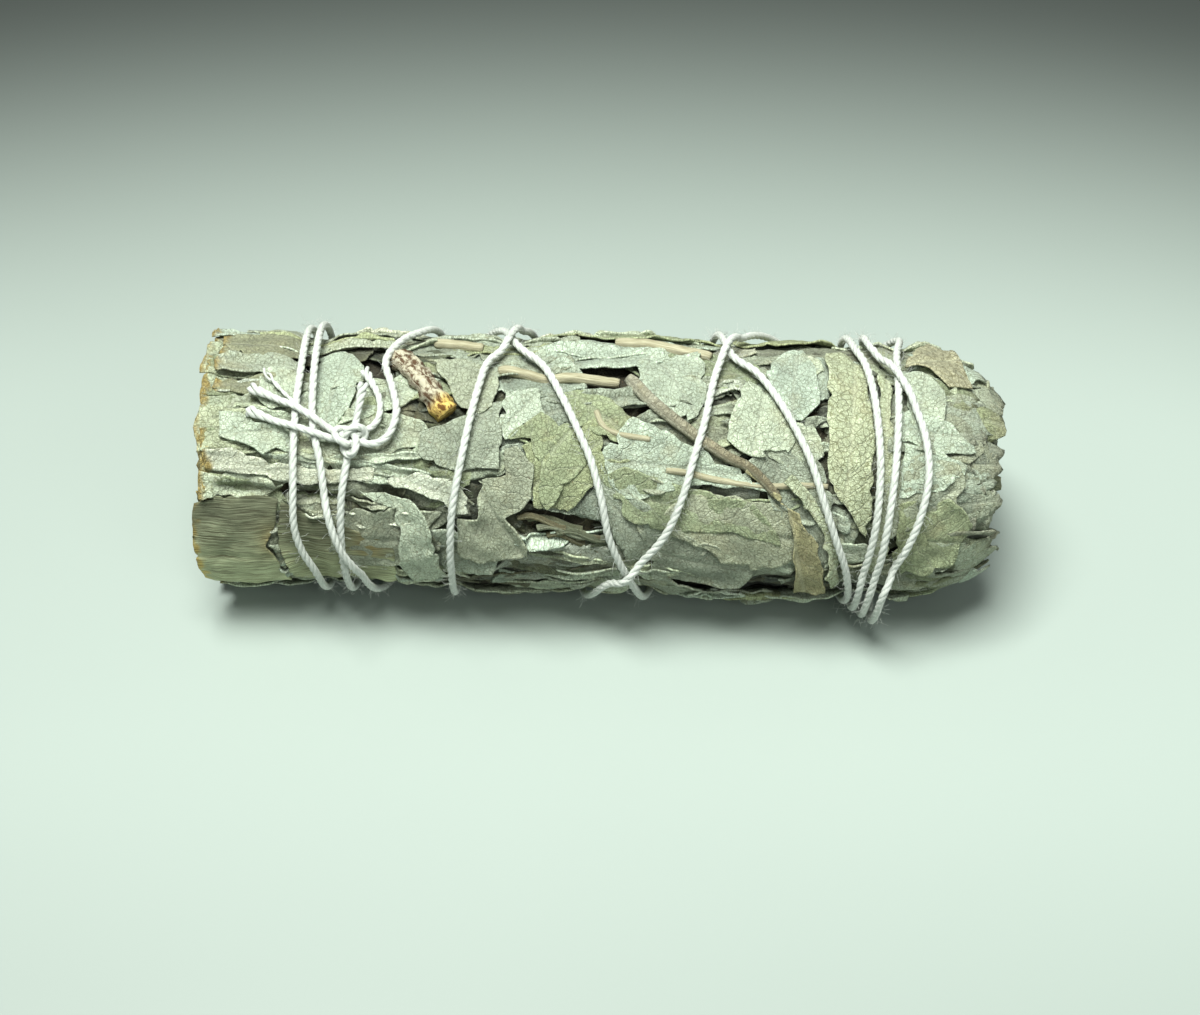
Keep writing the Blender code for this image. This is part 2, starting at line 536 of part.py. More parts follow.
def make_stems(home, pieces, cutters, finishes, stalked_leaf):
    """Loose stems on the outside, the long stalk joined to its leaf, and the cut stems in their holes."""
    for name, (radius, route) in OUTER_STEMS.items():
        fine, heights = stem_route(route, radius)
        points = [in_space(along, around, height) for (along, around), height in zip(fine, heights)]
        tube(name, points, radius, home, finishes["bark" if name == "bark_stem" else "woody stem"])
    fine, heights = stem_route(STALK_ROUTE, STALK_RADIUS)
    points = [in_space(along, around, height + STALK_RISE) for (along, around), height in zip(fine, heights)]
    tube("stalk", points, STALK_RADIUS, pieces)
    boolean(stalked_leaf, pieces, "UNION")
    drop_scraps(stalked_leaf)
    for number, (out, around, radius, end) in enumerate(CUT_STEMS, 1):
        turned = math.radians(around)
        deep = CUT_END + CUT_STEM_DEPTH
        rod = [in_space(end, turned, out), in_space(deep, turned, out)]
        hole = [in_space(end - 3, turned, out), in_space(deep + GAP, turned, out)]
        tube(f"cut_stem_{number}", rod, radius, home, finishes["woody stem"])
        tube(f"cut_stem_{number}_hole", hole, radius + GAP, cutters)


def bedded_things(outlines, laid):
    """Everything that the packed leaves give way to: flat outlines, and rods as (places, distances, radius)."""
    rods = [(laid[0], laid[1], STRING_DIAMETER / 2)]
    for radius, route in list(OUTER_STEMS.values()) + [(STALK_RADIUS, STALK_ROUTE)]:
        rods.append((*stem_route(route, radius), radius))
    return list(outlines.values()), rods


def build():
    start_empty()
    bunch_home = new_collection("sage bunch")
    pieces = new_collection("pieces to join")
    cutters = new_collection("cutters")
    finishes = {name: make_finish(name) for name in FINISHES}

    laid = string_points()
    outlines = outer_leaf_outlines()
    bunch = make_bunch(bunch_home, finishes["sage leaf"], bedded_things(outlines, laid))
    leaves = make_outer_leaves(outlines, bunch_home, finishes)
    make_stems(bunch_home, pieces, cutters, finishes, leaves["stalked_leaf"])
    make_string(laid, bunch_home, pieces, finishes["cotton string"])
    boolean(bunch, cutters, "DIFFERENCE")

    for empty_collection in (pieces, cutters):
        bpy.data.collections.remove(empty_collection)


build()
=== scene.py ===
"""Looks of the dried sage bunch: packed leaves, bare stems, cut and torn ends, and the string round them.

Lengths in the tables are in millimetres. "along" is X, "around" is in degrees: 0 at the front (-Y),
90 on top, 180 at the back and -90 underneath.
"""

import math

import bpy
import numpy as np
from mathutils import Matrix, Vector, geometry, kdtree


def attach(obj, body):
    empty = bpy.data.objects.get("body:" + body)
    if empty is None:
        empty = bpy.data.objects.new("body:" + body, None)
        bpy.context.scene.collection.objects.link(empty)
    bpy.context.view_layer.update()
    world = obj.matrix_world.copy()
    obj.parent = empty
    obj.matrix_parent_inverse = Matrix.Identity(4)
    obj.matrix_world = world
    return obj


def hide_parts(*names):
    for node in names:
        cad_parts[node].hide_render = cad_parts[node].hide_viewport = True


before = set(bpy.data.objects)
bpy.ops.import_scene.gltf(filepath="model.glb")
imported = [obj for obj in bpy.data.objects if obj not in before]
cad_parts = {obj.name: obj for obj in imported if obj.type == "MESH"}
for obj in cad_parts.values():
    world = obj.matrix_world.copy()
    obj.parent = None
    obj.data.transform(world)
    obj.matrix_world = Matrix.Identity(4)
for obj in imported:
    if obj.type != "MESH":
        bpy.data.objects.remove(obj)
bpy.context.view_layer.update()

MM = 0.001
BUNCH_RADIUS = 16.2
AXIS_HEIGHT = 16.05
ALONG_SHIFT = -0.6
STRING_DIAMETER = 1.15
STRING_REST_HEIGHT = 0.78
STRAND_SPACING = 1.5
LEAF_SHEET = 0.24

# Steps that spread pieces evenly round the roll: a share of a whole turn, and an angle in radians
EVEN_STEP = 0.618
EVEN_TURN = 2.39996

# Leaves whose foot reaches past this place along are cut off level, with a golden rim
CUT_LINE = -46.2

ENVELOPE_ALONG = [-50, -42, -33, -20, 0, 20, 34, 41, 45, 48, 51.5]
ENVELOPE_RADIUS = [15.9, 16.1, 15.9, 16.2, 16.2, 16.3, 16.1, 15.9, 14.9, 13.3, 10.8]

rng = np.random.default_rng(11)

# The string's route, one list a turn, as (along, around)
WINDING = [
    [(-29.4, 53), (-29.9, 44), (-30.6, 28), (-30.9, 7), (-30.9, -21), (-30.9, -60), (-31.1, -105),
     (-31.6, -138), (-34.4, -165), (-36.9, -196)],
    [(-36.9, 132), (-36.5, 100), (-36.4, 85), (-36.5, 60), (-36.5, 35), (-36.6, 15), (-36, 2), (-34.5, -19),
     (-34.3, -60), (-34.6, -105), (-34.9, -165), (-35.1, -200)],
    [(-35.2, 132), (-34.8, 100), (-34.6, 80), (-34.3, 60), (-33.2, 43), (-32.6, 27), (-31.9, 16), (-30.8, 4),
     (-29.5, -7), (-28.7, -19), (-27.6, -45), (-25.6, -80), (-22.6, -120), (-19, -165), (-15, -205),
     (-12.2, -230)],
    [(-9.8, 105), (-6.5, 91), (-3.9, 74), (-1.8, 59), (-0.1, 46), (1.3, 29), (2.1, 14), (3.4, 0), (4.9, -15),
     (6.2, -35), (8, -75), (10, -120), (12.7, -165), (14.7, -205), (15.8, -238)],
    [(17, 100), (19.9, 89), (22.5, 75), (24.9, 60), (26.7, 47), (28.5, 29), (30.3, 11), (31.4, -1),
     (32.0, -12), (32.4, -25), (32.3, -45), (31.5, -90), (31.2, -150), (31.5, -200), (31.8, -230)],
    [(32.4, 110), (33.4, 97), (34.3, 78), (34.9, 55), (35, 40), (34.8, 22), (34.2, 5), (33.6, -10),
     (33.4, -25), (33.4, -45), (33.4, -90), (33.5, -150), (34.2, -175), (36.4, -200), (38.2, -222)],
    [(38.4, 125), (37.5, 104), (37.3, 80), (37, 55), (36.5, 35), (36, 18), (35.6, 5), (34.9, -10),
     (34.5, -25), (34.6, -45), (35.1, -90), (35.4, -150), (35.6, -178), (34.6, -205), (33.9, -228)],
    [(33.9, 116), (34.5, 106), (36.9, 90), (39, 75), (40.4, 60), (40.9, 43), (40.1, 25), (38.6, 8),
     (37.1, -4), (36.1, -15), (35.9, -45), (36.9, -95), (36.4, -125), (35.2, -141), (32.5, -160), (28, -185),
     (22.5, -215), (17.8, -245)],
    [(16, 100), (14.8, 86), (13.6, 64), (12.4, 49), (11, 31), (9, 14), (5.7, -3), (3.1, -14), (0.9, -25),
     (-1, -50), (-2.6, -90), (-4.6, -140), (-6.6, -180), (-8.1, -205), (-9.3, -230)],
    [(-11.1, 105), (-13.3, 92), (-14.1, 80), (-15, 64), (-16, 45), (-17, 25), (-17.4, 5), (-17.5, -15),
     (-17.7, -45), (-18, -90), (-18.4, -130), (-19.2, -165), (-20.3, -205)],
    [(-21.8, 126), (-24.4, 109), (-26, 92), (-24.9, 78), (-24.1, 66), (-24.8, 56), (-26.6, 51.5),
     (-28.9, 52)],
]

# Short ends by the knot: thickness, rise, fray, route (along, around)
STRING_ENDS = [
    (0.55, 0.3, 1.0, [(-30, 54), (-31.4, 56), (-33.6, 60.5), (-36.2, 65.5), (-38.8, 69.5), (-42.2, 74)]),
    (0.55, 0.2, 1.0, [(-30, 52.5), (-32, 53.5), (-34.2, 55.5), (-36.8, 58), (-39.3, 60.5), (-42.2, 64)]),
    (0.3, 0.5, 0.9, [(-36, 65.5), (-37.3, 70), (-38.9, 76), (-40.8, 83)]),
    (0.5, 0.4, 0.8, [(-28.9, 54), (-27.6, 57), (-26.4, 61), (-26.1, 67), (-26.6, 74), (-28.4, 85)]),
    (0.55, 2.2, 0.8, [(-29.2, 54), (-28.9, 60), (-28.5, 67), (-28.1, 74)]),
]

# Large leaves of the front and top: node, tone, depth, curl, midrib heading, outline (along, around)
HERO_LEAVES = [
    ("rolled_foot_leaf", "roll", 0.3, 0.0, 0,
     [(-49.5, -34), (-49.7, -8), (-49.4, 12), (-48.8, 23), (-46, 27), (-41, 27.5), (-38.6, 25.5), (-39, 14),
      (-40.2, 2), (-39.2, -12), (-38.6, -36), (-43, -40)]),
    ("lower_left_leaf", "roll", 0.5, 0.15, 0,
     [(-38.2, 24), (-33, 15), (-27, 7), (-24.6, 3), (-24.8, -31), (-31, -36), (-37.9, -34), (-38.5, -10),
      (-39.2, 3)]),
    ("pleated_foot_leaf", "pale", 0.1, 0.5, 2,
     [(-47.4, 47), (-44.1, 48), (-40.4, 44), (-35.7, 40.5), (-30.2, 41), (-26.6, 41), (-26.8, 36.4),
      (-31.5, 34), (-37.5, 33), (-40.4, 36), (-43.1, 38), (-47.2, 39.5)]),
    ("netted_foot_leaf", "mint", 0.0, 0.5, 8,
     [(-46.2, 65.5), (-43.4, 64), (-39.6, 59.5), (-36.2, 57.5), (-36.2, 49.5), (-37.2, 46.5), (-38.7, 49),
      (-40.2, 46.5), (-41.1, 49), (-43.4, 52), (-45.7, 53.5)]),
    ("flat_left_leaf", "mint", 0.25, 0.2, 80,
     [(-34.9, 100), (-31.5, 102), (-28.6, 92), (-28.2, 83), (-31.6, 59), (-33.4, 54), (-34.4, 71)]),
    ("hanging_strip_leaf", "mint", 0.0, 0.5, -75,
     [(-28.5, 31.5), (-25.3, 31), (-22.2, 28), (-20.5, 20), (-19.4, 2), (-18.3, -20), (-22.5, -22),
      (-23.9, -7), (-23.5, 14), (-24.9, 24)]),
    ("folded_band_leaf", "pale", -0.15, 0.5, -20,
     [(-25.6, 36.4), (-21.5, 40), (-17.3, 37.3), (-15.1, 29), (-14.9, 22), (-16.7, 21), (-18.5, 28),
      (-20.4, 31.5), (-24, 34)]),
    ("broad_left_leaf", "grey", 0.2, 0.3, 60,
     [(-12.8, 73), (-11.3, 72), (-11.3, 62), (-11.2, 42), (-16, 40.5), (-19.6, 43), (-21.3, 48), (-21.1, 57),
      (-18.6, 60), (-15.5, 66)]),
    ("centre_leaf", "olive", 0.0, 0.35, 50,
     [(-10.5, 55), (-6.4, 67), (-3, 63), (-0.5, 45), (-2.8, 37), (-5.4, 25), (-6.3, 29), (-6.5, 45),
      (-8.4, 55.5)]),
    ("centre_low_leaf", "grey", 0.25, 0.4, -60,
     [(-14, 37), (-10.6, 39.5), (-10.5, 50), (-9.3, 51.5), (-7.3, 44), (-7.1, 30), (-8.7, 24), (-10.5, 20),
      (-7.6, 6), (-7.8, 0), (-13.6, -4), (-16.6, -5), (-16.4, 18), (-14.1, 19.5)]),
    ("midrib_leaf", "olive", 0.2, 0.3, -12,
     [(0.9, 41), (4, 44), (10, 37), (14, 34), (19.5, 31), (21.5, 24), (23.2, 10), (18.3, 15), (13.3, 16),
      (9.1, 13), (4.8, 20), (2.4, 29)]),
    ("torn_top_leaf", "mint", 0.0, 0.4, 80,
     [(18, 81), (19, 89), (20.5, 85), (22, 77), (23.5, 66), (24.8, 57), (23.9, 51), (21.7, 53), (20.7, 52),
      (21.3, 49.5), (20.4, 49), (18.4, 51.5), (16.2, 56), (16.5, 64), (17.1, 73)]),
    ("pale_top_leaf", "mint", 0.3, 0.3, 85,
     [(20.9, 94), (23.7, 107), (25.7, 106), (27.2, 94), (27.8, 85), (27.7, 75), (26.6, 70), (25.5, 66.5),
      (24.3, 68), (22.8, 78)]),
    ("wide_head_leaf", "beige", 0.0, 0.25, 86,
     [(28.6, 106), (30.7, 109), (33.1, 101), (33.7, 92), (34, 77), (34.2, 64), (34.2, 42), (34.2, 28),
      (33.8, 12), (33.1, 15), (31.2, 27), (28.8, 41), (28.6, 77)]),
    ("tan_head_leaf", "beige", 0.15, 0.3, 88,
     [(34.9, 96), (36.4, 95), (36.6, 86), (36.5, 54), (36.9, 32), (36.7, 2), (34.9, -10), (34.7, 6),
      (34.9, 28), (34.9, 58)]),
    ("folded_strip_leaf", "beige", -0.5, 0.4, -70,
     [(23.3, 39), (25.3, 32), (27.2, 25), (28.6, 15), (29.6, 1), (30, -17), (31, -17), (30.7, 4), (29.5, 18),
      (27.8, 29), (25.4, 38), (24.3, 42)]),
    ("ribbed_head_leaf", "mint", 0.1, 0.4, 10,
     [(37.8, 58), (41, 56), (43.4, 52), (45.5, 48), (45.2, 44), (42.9, 37), (40.6, 34.5), (37.6, 33)]),
    ("smooth_head_leaf", "olive", 0.3, 0.4, 80,
     [(37.5, 30), (40.4, 31.5), (40.2, 23), (41.4, 11), (39.2, -8), (37.2, -14), (37.4, 6)]),
    ("tan_corner_leaf", "tan", 0.0, 0.6, 20,
     [(38.4, 101), (39.7, 114), (42.6, 130), (45.1, 127), (46.1, 105), (46.7, 91), (45.6, 89), (43.8, 88),
      (41.5, 98)]),
    ("pale_head_leaf", "mint", 0.15, 0.4, 80,
     [(38.4, 97), (41, 94.5), (43.2, 85), (43, 77), (42.8, 68), (38.9, 66), (38.5, 77)]),
    ("stalked_leaf", "brown", -0.6, 0.4, -78,
     [(19.2, 47), (20.8, 42), (22.9, 34), (24.6, 19), (25.2, 1), (25.6, -18), (29.2, -18), (28.6, 3),
      (27.3, 15), (24.9, 25), (21.8, 35), (18.6, 43)]),
]

# The "dark" tone is painted shade: it colours the middle of the bunch, seen only in the gaps.
TONES = {
    "grey": (0.325, 0.355, 0.275), "mint": (0.43, 0.485, 0.385), "pale": (0.49, 0.515, 0.42),
    "olive": (0.29, 0.325, 0.20), "beige": (0.405, 0.45, 0.325), "tan": (0.37, 0.345, 0.225),
    "brown": (0.32, 0.29, 0.16), "dark": (0.045, 0.042, 0.028), "gold": (0.36, 0.285, 0.10),
    "roll": (0.25, 0.26, 0.172),
}

# Pleats or ribs that run along some leaves: height, spacing, heading
PLEATS = {
    "rolled_foot_leaf": (0.05, 0.8, 0), "lower_left_leaf": (0.10, 1.7, -8),
    "pleated_foot_leaf": (0.42, 1.15, 0), "hanging_strip_leaf": (0.3, 1.7, -72),
    "folded_band_leaf": (0.35, 1.2, -22), "stalked_leaf": (0.3, 1.6, -80),
    "folded_strip_leaf": (0.3, 0.9, -72), "ribbed_head_leaf": (0.3, 1.8, 8),
}

# More leaves of the front, packed among the others: tone, depth, curl, heading, outline (along, around)
SHOWN_LEAVES = [
    ("olive", 0.3, 0.25, 35, [(-8.7, 52), (0.3, 66), (1.4, 51), (1.0, 38), (-2.8, 22), (-6.9, 26),
                              (-7.4, 44)]),
    ("roll", 0.35, 0.5, 0, [(-47.0, 112), (-42.0, 118), (-36.5, 116), (-36.8, 99), (-42.0, 95), (-47.0, 96)]),
    ("grey", 0.15, 0.6, -3, [(-47.1, 93), (-41.0, 97), (-36.5, 94.5), (-37.0, 87), (-42.0, 84.5),
                             (-47.0, 84)]),
    ("roll", 0.3, 0.6, 4, [(-47.0, 82), (-42.0, 84), (-37.8, 85), (-38.5, 79), (-43.0, 75), (-47.0, 77)]),
    ("grey", 0.45, 0.3, -60, [(18.6, 47), (21.6, 57), (25.2, 57), (28.0, 45), (30.1, 23), (31.0, 5),
                              (27.0, -8), (24.5, 2), (23.3, 22), (21.1, 35)]),
    ("mint", 0.4, 0.3, 0, [(18.5, 75), (22.2, 73), (27.1, 64), (28.4, 51), (25.3, 44), (21.6, 50),
                           (18.2, 57)]),
    ("mint", 0.2, 0.3, 60, [(-41.3, 85), (-36.8, 93), (-36.1, 71), (-39.4, 65), (-41.7, 72)]),
    ("grey", 0.1, 0.3, 30, [(-21.2, 93), (-16.2, 97), (-12.0, 89), (-12.2, 69), (-15.6, 65), (-17.9, 79)]),
    ("mint", 0.15, 0.3, 50, [(-10.7, 77), (-6.8, 80), (-5.7, 66), (-10.5, 56), (-11.7, 65)]),
    ("grey", 0.2, 0.25, -8, [(11.8, 33), (23.0, 30), (24.6, 21), (25.3, 2), (21.4, -5), (16.2, 0), (13.4, 8),
                             (10.0, 12), (8.5, 23)]),
    ("mint", 0.3, 0.3, -5, [(1.4, 52), (4.9, 65), (13.3, 54), (15.8, 47), (18.4, 43), (22.3, 36), (12.0, 36),
                            (4.0, 29), (1.5, 41)]),
    ("grey", 0.35, 0.3, -50, [(1.0, 46), (5.9, 30), (9.4, 16), (7.9, 4), (4.6, -9), (2.6, 10), (1.4, 25)]),
    ("mint", 0.3, 0.35, -60, [(5.5, 99), (13.0, 104), (14.0, 75), (11.8, 63), (7.5, 72), (5.4, 82)]),
    ("olive", 0.25, 0.3, -40, [(-4.2, 79), (0.7, 78), (5.7, 65), (7.0, 56), (2.1, 56), (-2.8, 64)]),
    ("grey", 0.2, 0.4, 5, [(35.0, 45), (41.0, 54), (45.6, 46), (44.9, 28), (40.8, 19), (35.9, 13)]),
    ("olive", 0.25, 0.4, -10, [(38.3, 23), (43.6, 33), (46.9, 19), (44.5, -4), (38.6, -12)]),
    ("mint", 0.1, 0.4, -10, [(37.5, 77), (43.5, 68), (46.5, 55), (42.2, 52), (37.4, 58)]),
    ("grey", 0.45, 0.4, -12, [(6.0, 20), (13.4, 11), (21.0, -3), (18.7, -19), (7.4, -16)]),
    ("grey", 0.5, 0.3, 0, [(-32.1, 17), (-23.5, 25), (-18.6, 21), (-22.6, -5), (-30.5, -20), (-33.3, -7)]),
]

# Places where the front leaves stand apart and show the middle, painted dark as shade, as outlines (along,
# around)
OPEN_GAPS = [
    [(-9.5, 20), (-7, 23), (-2, 20), (3.5, 13), (2, 5), (-3, 6), (-7.5, 9)],
    [(24.6, 60), (25.5, 67), (28.6, 64), (28.4, 58)],
    [(-46, 27), (-46, 34), (-38, 31), (-27, 26), (-27, 22), (-38, 26)],
    [(14, -20), (14, -15), (21.5, -17), (21.5, -23)],
]

# The stalk across the front to the folded leaf, as (along, around)
LONG_STALK = [(4.3, 84), (6.6, 74), (9.4, 66), (13.1, 57), (16.2, 49.5), (18.8, 45.5), (20.6, 40.5),
              (22.6, 33)]

# Bare stems on the outside: node, kind, radius, rise, route (along, around)
STEMS = [
    ("bark_stem", "bark", 1.4, 0.3, [(-25.2, 101), (-23.2, 91), (-20.9, 79), (-17.8, 66)]),
    ("tan_stem", "stem", 0.68, 0.1, [(-11.9, 91), (-8.1, 88), (-3.1, 86), (0.7, 84.5), (3.1, 83.5)]),
    ("slim_twig", "stalk", 0.4, 0.15, [(0.3, 69), (1.1, 62.5), (2.9, 58.5), (7, 56)]),
    ("midrib_twig", "stem", 0.42, 0.2,
     [(9.0, 43), (11.4, 42), (15, 39.5), (19.1, 37.5), (22.4, 37), (25, 37.6), (28.8, 37.3)]),
    ("top_right_twig", "stem", 0.75, 0.1, [(2.4, 115), (6.7, 112), (11.6, 107), (14.4, 103)]),
    ("top_left_twig", "stem", 0.65, 0.1, [(-20.4, 112), (-17.4, 109.5), (-14.2, 107)]),
]

# Stems cut off at the foot: distance from the axis, around, radius, cut end
CUT_STEMS = [
    (3.2, 40, 2.1, -48.3), (8.6, 75, 1.6, -47.9), (8.9, 150, 1.9, -48.6), (7.4, -130, 1.5, -48.1),
    (9.2, -60, 1.7, -48.4), (9.6, 5, 1.3, -47.9), (3.6, -150, 1.2, -48.2),
]


def envelope(along):
    """Radius of the plain roll at places along it."""
    return np.interp(along, ENVELOPE_ALONG, ENVELOPE_RADIUS)


def from_axis(along, front, up, lowest=0.2):
    """Points in metres, from millimetres along, to the front of and above the axis."""
    along, front, up = np.broadcast_arrays(along, front, up)
    return np.stack([(along + ALONG_SHIFT) * MM, -front * MM, np.maximum(AXIS_HEIGHT + up, lowest) * MM], -1)


def in_space(along, around, radius):
    """Points in metres, from millimetres along and off the axis and radians around, kept above ground."""
    height = AXIS_HEIGHT + radius * np.sin(around)
    low = 0.12
    height = np.where(height < low, low + 0.04 * (height - low), height)
    return np.stack([(along + ALONG_SHIFT) * MM, -radius * np.cos(around) * MM, height * MM], -1)


def on_roll(along, around):
    """A place on the plain roll in millimetres, to measure how far strands lie apart."""
    return along, BUNCH_RADIUS * math.cos(around), BUNCH_RADIUS * math.sin(around)


def smooth_route(places, spacing):
    """Even steps along a smooth line through the places, as millimetres and radians."""
    knots = np.array([(along, math.radians(around)) for along, around in places])
    padded = np.vstack([2 * knots[0] - knots[1], knots, 2 * knots[-1] - knots[-2]])
    fine = []
    for a, b, c, d in zip(padded, padded[1:], padded[2:], padded[3:]):
        for t in np.linspace(0, 1, 24, endpoint=False):
            fine.append(0.5 * (2 * b + (c - a) * t + (2 * a - 5 * b + 4 * c - d) * t * t
                               + (3 * b - a - 3 * c + d) * t ** 3))
    fine.append(padded[-2])
    fine = np.array(fine)
    step = np.hypot(np.diff(fine[:, 0]), np.diff(fine[:, 1]) * BUNCH_RADIUS)
    run = np.concatenate([[0], np.cumsum(step)])
    even = np.linspace(0, run[-1], max(3, int(run[-1] / spacing)))
    return np.stack([np.interp(even, run, fine[:, 0]), np.interp(even, run, fine[:, 1])], 1)


def string_places():
    """The whole winding as one route, and its distance from the axis, later strands over earlier ones."""
    places = []
    for turn in WINDING:
        for along, around in turn:
            if places:
                around += 360 * round((places[-1][1] - around) / 360)
            places.append((along, around))
    fine = smooth_route(places, 0.4)
    radius = envelope(fine[:, 0]) + STRING_DIAMETER / 2 + 0.1
    low = np.maximum(-np.sin(fine[:, 1]), 0.2)
    radius = np.minimum(radius, (AXIS_HEIGHT - STRING_REST_HEIGHT) / low)
    tree = kdtree.KDTree(len(fine))
    for index, (along, around) in enumerate(fine):
        tree.insert(on_roll(along, around), index)
    tree.balance()
    reach = STRAND_SPACING * 1.3
    for index, (along, around) in enumerate(fine):
        for _, other, apart in tree.find_range(on_roll(along, around), reach):
            if other < index - 12:
                lift = STRING_DIAMETER * math.sqrt(max(0, 1 - (apart / reach) ** 2))
                radius[index] = max(radius[index], radius[other] + lift * 0.92)
    kernel = np.hanning(9)
    smoothed = np.convolve(np.pad(radius, 4, mode="edge"), kernel / kernel.sum(), mode="valid")
    return fine, np.maximum(smoothed, radius - 0.15), tree


winding, winding_radius, winding_tree = string_places()

# How near the string runs to each place of the bunch, looked up once on a grid
GRID_STEP = 0.5
GRID_TURN = 1.8
GRID_ALONG = np.arange(-52, 53, GRID_STEP)
GRID_AROUND = np.arange(0, 360, GRID_TURN)
near_string = np.empty((len(GRID_ALONG), len(GRID_AROUND)))
for row, along in enumerate(GRID_ALONG):
    for column, around in enumerate(np.radians(GRID_AROUND)):
        near_string[row, column] = winding_tree.find(on_roll(along, around))[2]


def on_grid(table, along, around):
    """The table's value at places along and radians around."""
    u = np.clip((along - GRID_ALONG[0]) / GRID_STEP, 0, len(GRID_ALONG) - 1.001)
    v = (np.degrees(around) % 360) / GRID_TURN
    i, j = u.astype(int), v.astype(int) % len(GRID_AROUND)
    fu, fv = u - i, v - np.floor(v)
    k = (j + 1) % len(GRID_AROUND)
    return ((table[i, j] * (1 - fv) + table[i, k] * fv) * (1 - fu)
            + (table[i + 1, j] * (1 - fv) + table[i + 1, k] * fv) * fu)


def bunch_radius(along, around):
    """Radius of the bunch's skin: swollen between the strands, and pinched in under them."""
    apart = on_grid(near_string, along, around)
    pinch = 0.62 * np.exp(-(apart / 1.5) ** 2)
    swell = 0.35 * (1 - np.exp(-(apart / 5) ** 2))
    lumps = 0.22 * np.sin(along * 0.55 + 2 * np.sin(around * 2)) * np.sin(around * 3 + along * 0.13)
    return envelope(along) - pinch + swell + lumps


def waves(u, v, seed, size):
    """Smooth small unevenness between -1 and 1."""
    made = np.random.default_rng(seed)
    total = np.zeros(np.shape(u))
    for _ in range(5):
        heading, phase = made.uniform(0, math.pi), made.uniform(0, 2 * math.pi)
        rate = 2 * math.pi / (size * made.uniform(0.7, 1.6))
        total = total + np.sin((u * math.cos(heading) + v * math.sin(heading)) * rate + phase)
    return total / 3


def roughen(outline, roughness, seed, step=0.5):
    """The outline with more corners, nibbled in and out like a dry leaf's torn rim."""
    made = np.random.default_rng(seed)
    corners = []
    for (u0, v0), (u1, v1) in zip(outline, outline[1:] + outline[:1]):
        length = math.hypot(u1 - u0, v1 - v0)
        count = max(1, int(length / step))
        for k in range(count):
            corners.append((u0 + (u1 - u0) * k / count, v0 + (v1 - v0) * k / count))
    corners = np.array(corners)
    outwards = np.roll(corners, -1, 0) - np.roll(corners, 1, 0)
    outwards = np.stack([outwards[:, 1], -outwards[:, 0]], 1)
    outwards /= np.maximum(np.linalg.norm(outwards, axis=1), 1e-6)[:, None]
    run = np.arange(len(corners))
    push = made.normal(0, 0.16, len(corners))
    for wave_length in (9, 23, 41):
        rate = 2 * math.pi / (wave_length * made.uniform(0.8, 1.2))
        push += np.sin(run * rate + made.uniform(0, 6.28)) * 0.55
    for _ in range(len(corners) // 14):
        place, wide, deep = made.integers(0, len(corners)), made.uniform(0.8, 2.2), made.uniform(0.8, 3.2)
        near = np.minimum(abs(run - place), len(run) - abs(run - place))
        push += deep * np.maximum(0, 1 - near / wide)
    return corners + outwards * (push * roughness)[:, None]


def cut_sheet(outline, spacing):
    """Flat triangles that fill the outline: corner places and triples of corners."""
    low, high = outline.min(0), outline.max(0)
    us = np.arange(low[0] + spacing / 2, high[0], spacing)
    vs = np.arange(low[1] + spacing / 2, high[1], spacing)
    grid = np.stack(np.meshgrid(us, vs, indexing="ij"), -1).reshape(-1, 2)
    grid += rng.uniform(-0.18, 0.18, grid.shape) * spacing
    places = [Vector(place) for place in np.vstack([outline, grid])]
    made = geometry.delaunay_2d_cdt(places, [], [list(range(len(outline)))], 1, 1e-4)
    return np.array([tuple(place) for place in made[0]]), np.array(made[2], dtype=int).reshape(-1, 3)


def placed(name, data):
    """A new object that stands in the scene."""
    made = bpy.data.objects.new(name, data)
    bpy.context.scene.collection.objects.link(made)
    return made


class Sheets:
    """Leaves, stems or string gathered into one mesh."""

    def __init__(self):
        self.places, self.triangles, self.flat, self.tones, self.count = [], [], [], [], 0

    def add(self, places, triangles, flat, tone):
        self.places.append(places)
        self.triangles.append(triangles + self.count)
        self.flat.append(flat)
        self.tones.append(np.broadcast_to(tone, (len(places), 3)))
        self.count += len(places)

    def make(self, name, material, slot, nodes=(), sheet=LEAF_SHEET):
        places, triangles = np.vstack(self.places), np.vstack(self.triangles)
        flat, tones = np.vstack(self.flat), np.vstack(self.tones)
        places[:, 2] = np.maximum(places[:, 2], (0.6 * sheet + 0.02) * MM)
        mesh = bpy.data.meshes.new(name)
        mesh.from_pydata(places.tolist(), [], triangles.tolist())
        mesh.uv_layers.new(name="leaf_place")
        loop_verts = np.empty(len(mesh.loops), dtype=np.int32)
        mesh.loops.foreach_get("vertex_index", loop_verts)
        mesh.uv_layers["leaf_place"].data.foreach_set("uv", flat[loop_verts].ravel())
        colour = mesh.color_attributes.new("leaf_tone", "FLOAT_COLOR", "POINT")
        colour.data.foreach_set("color", np.hstack([tones, np.ones((len(tones), 1))]).ravel())
        mesh.shade_smooth()
        mesh.materials.append(material)
        made = placed(name, mesh)
        if sheet:
            thick = made.modifiers.new("thickness", "SOLIDIFY")
            thick.thickness = sheet * MM
            thick.offset = 0
        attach(made, "root")
        if nodes:
            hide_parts(*nodes)
        return made


def tinted(tone, amount=0.12):
    """The tone a little lighter or darker, and a little greener or browner."""
    warm = rng.uniform(-0.035, 0.03)
    light = rng.uniform(1 - amount, 1 + amount)
    return np.array(TONES[tone]) * light * np.array([0.99 + warm, 1.02, 0.97 - 1.5 * warm])


def turned(local, heading):
    """Distances along and across a heading in degrees."""
    turn = math.radians(heading)
    run = local[:, 0] * math.cos(turn) + local[:, 1] * math.sin(turn)
    return run, local[:, 1] * math.cos(turn) - local[:, 0] * math.sin(turn)


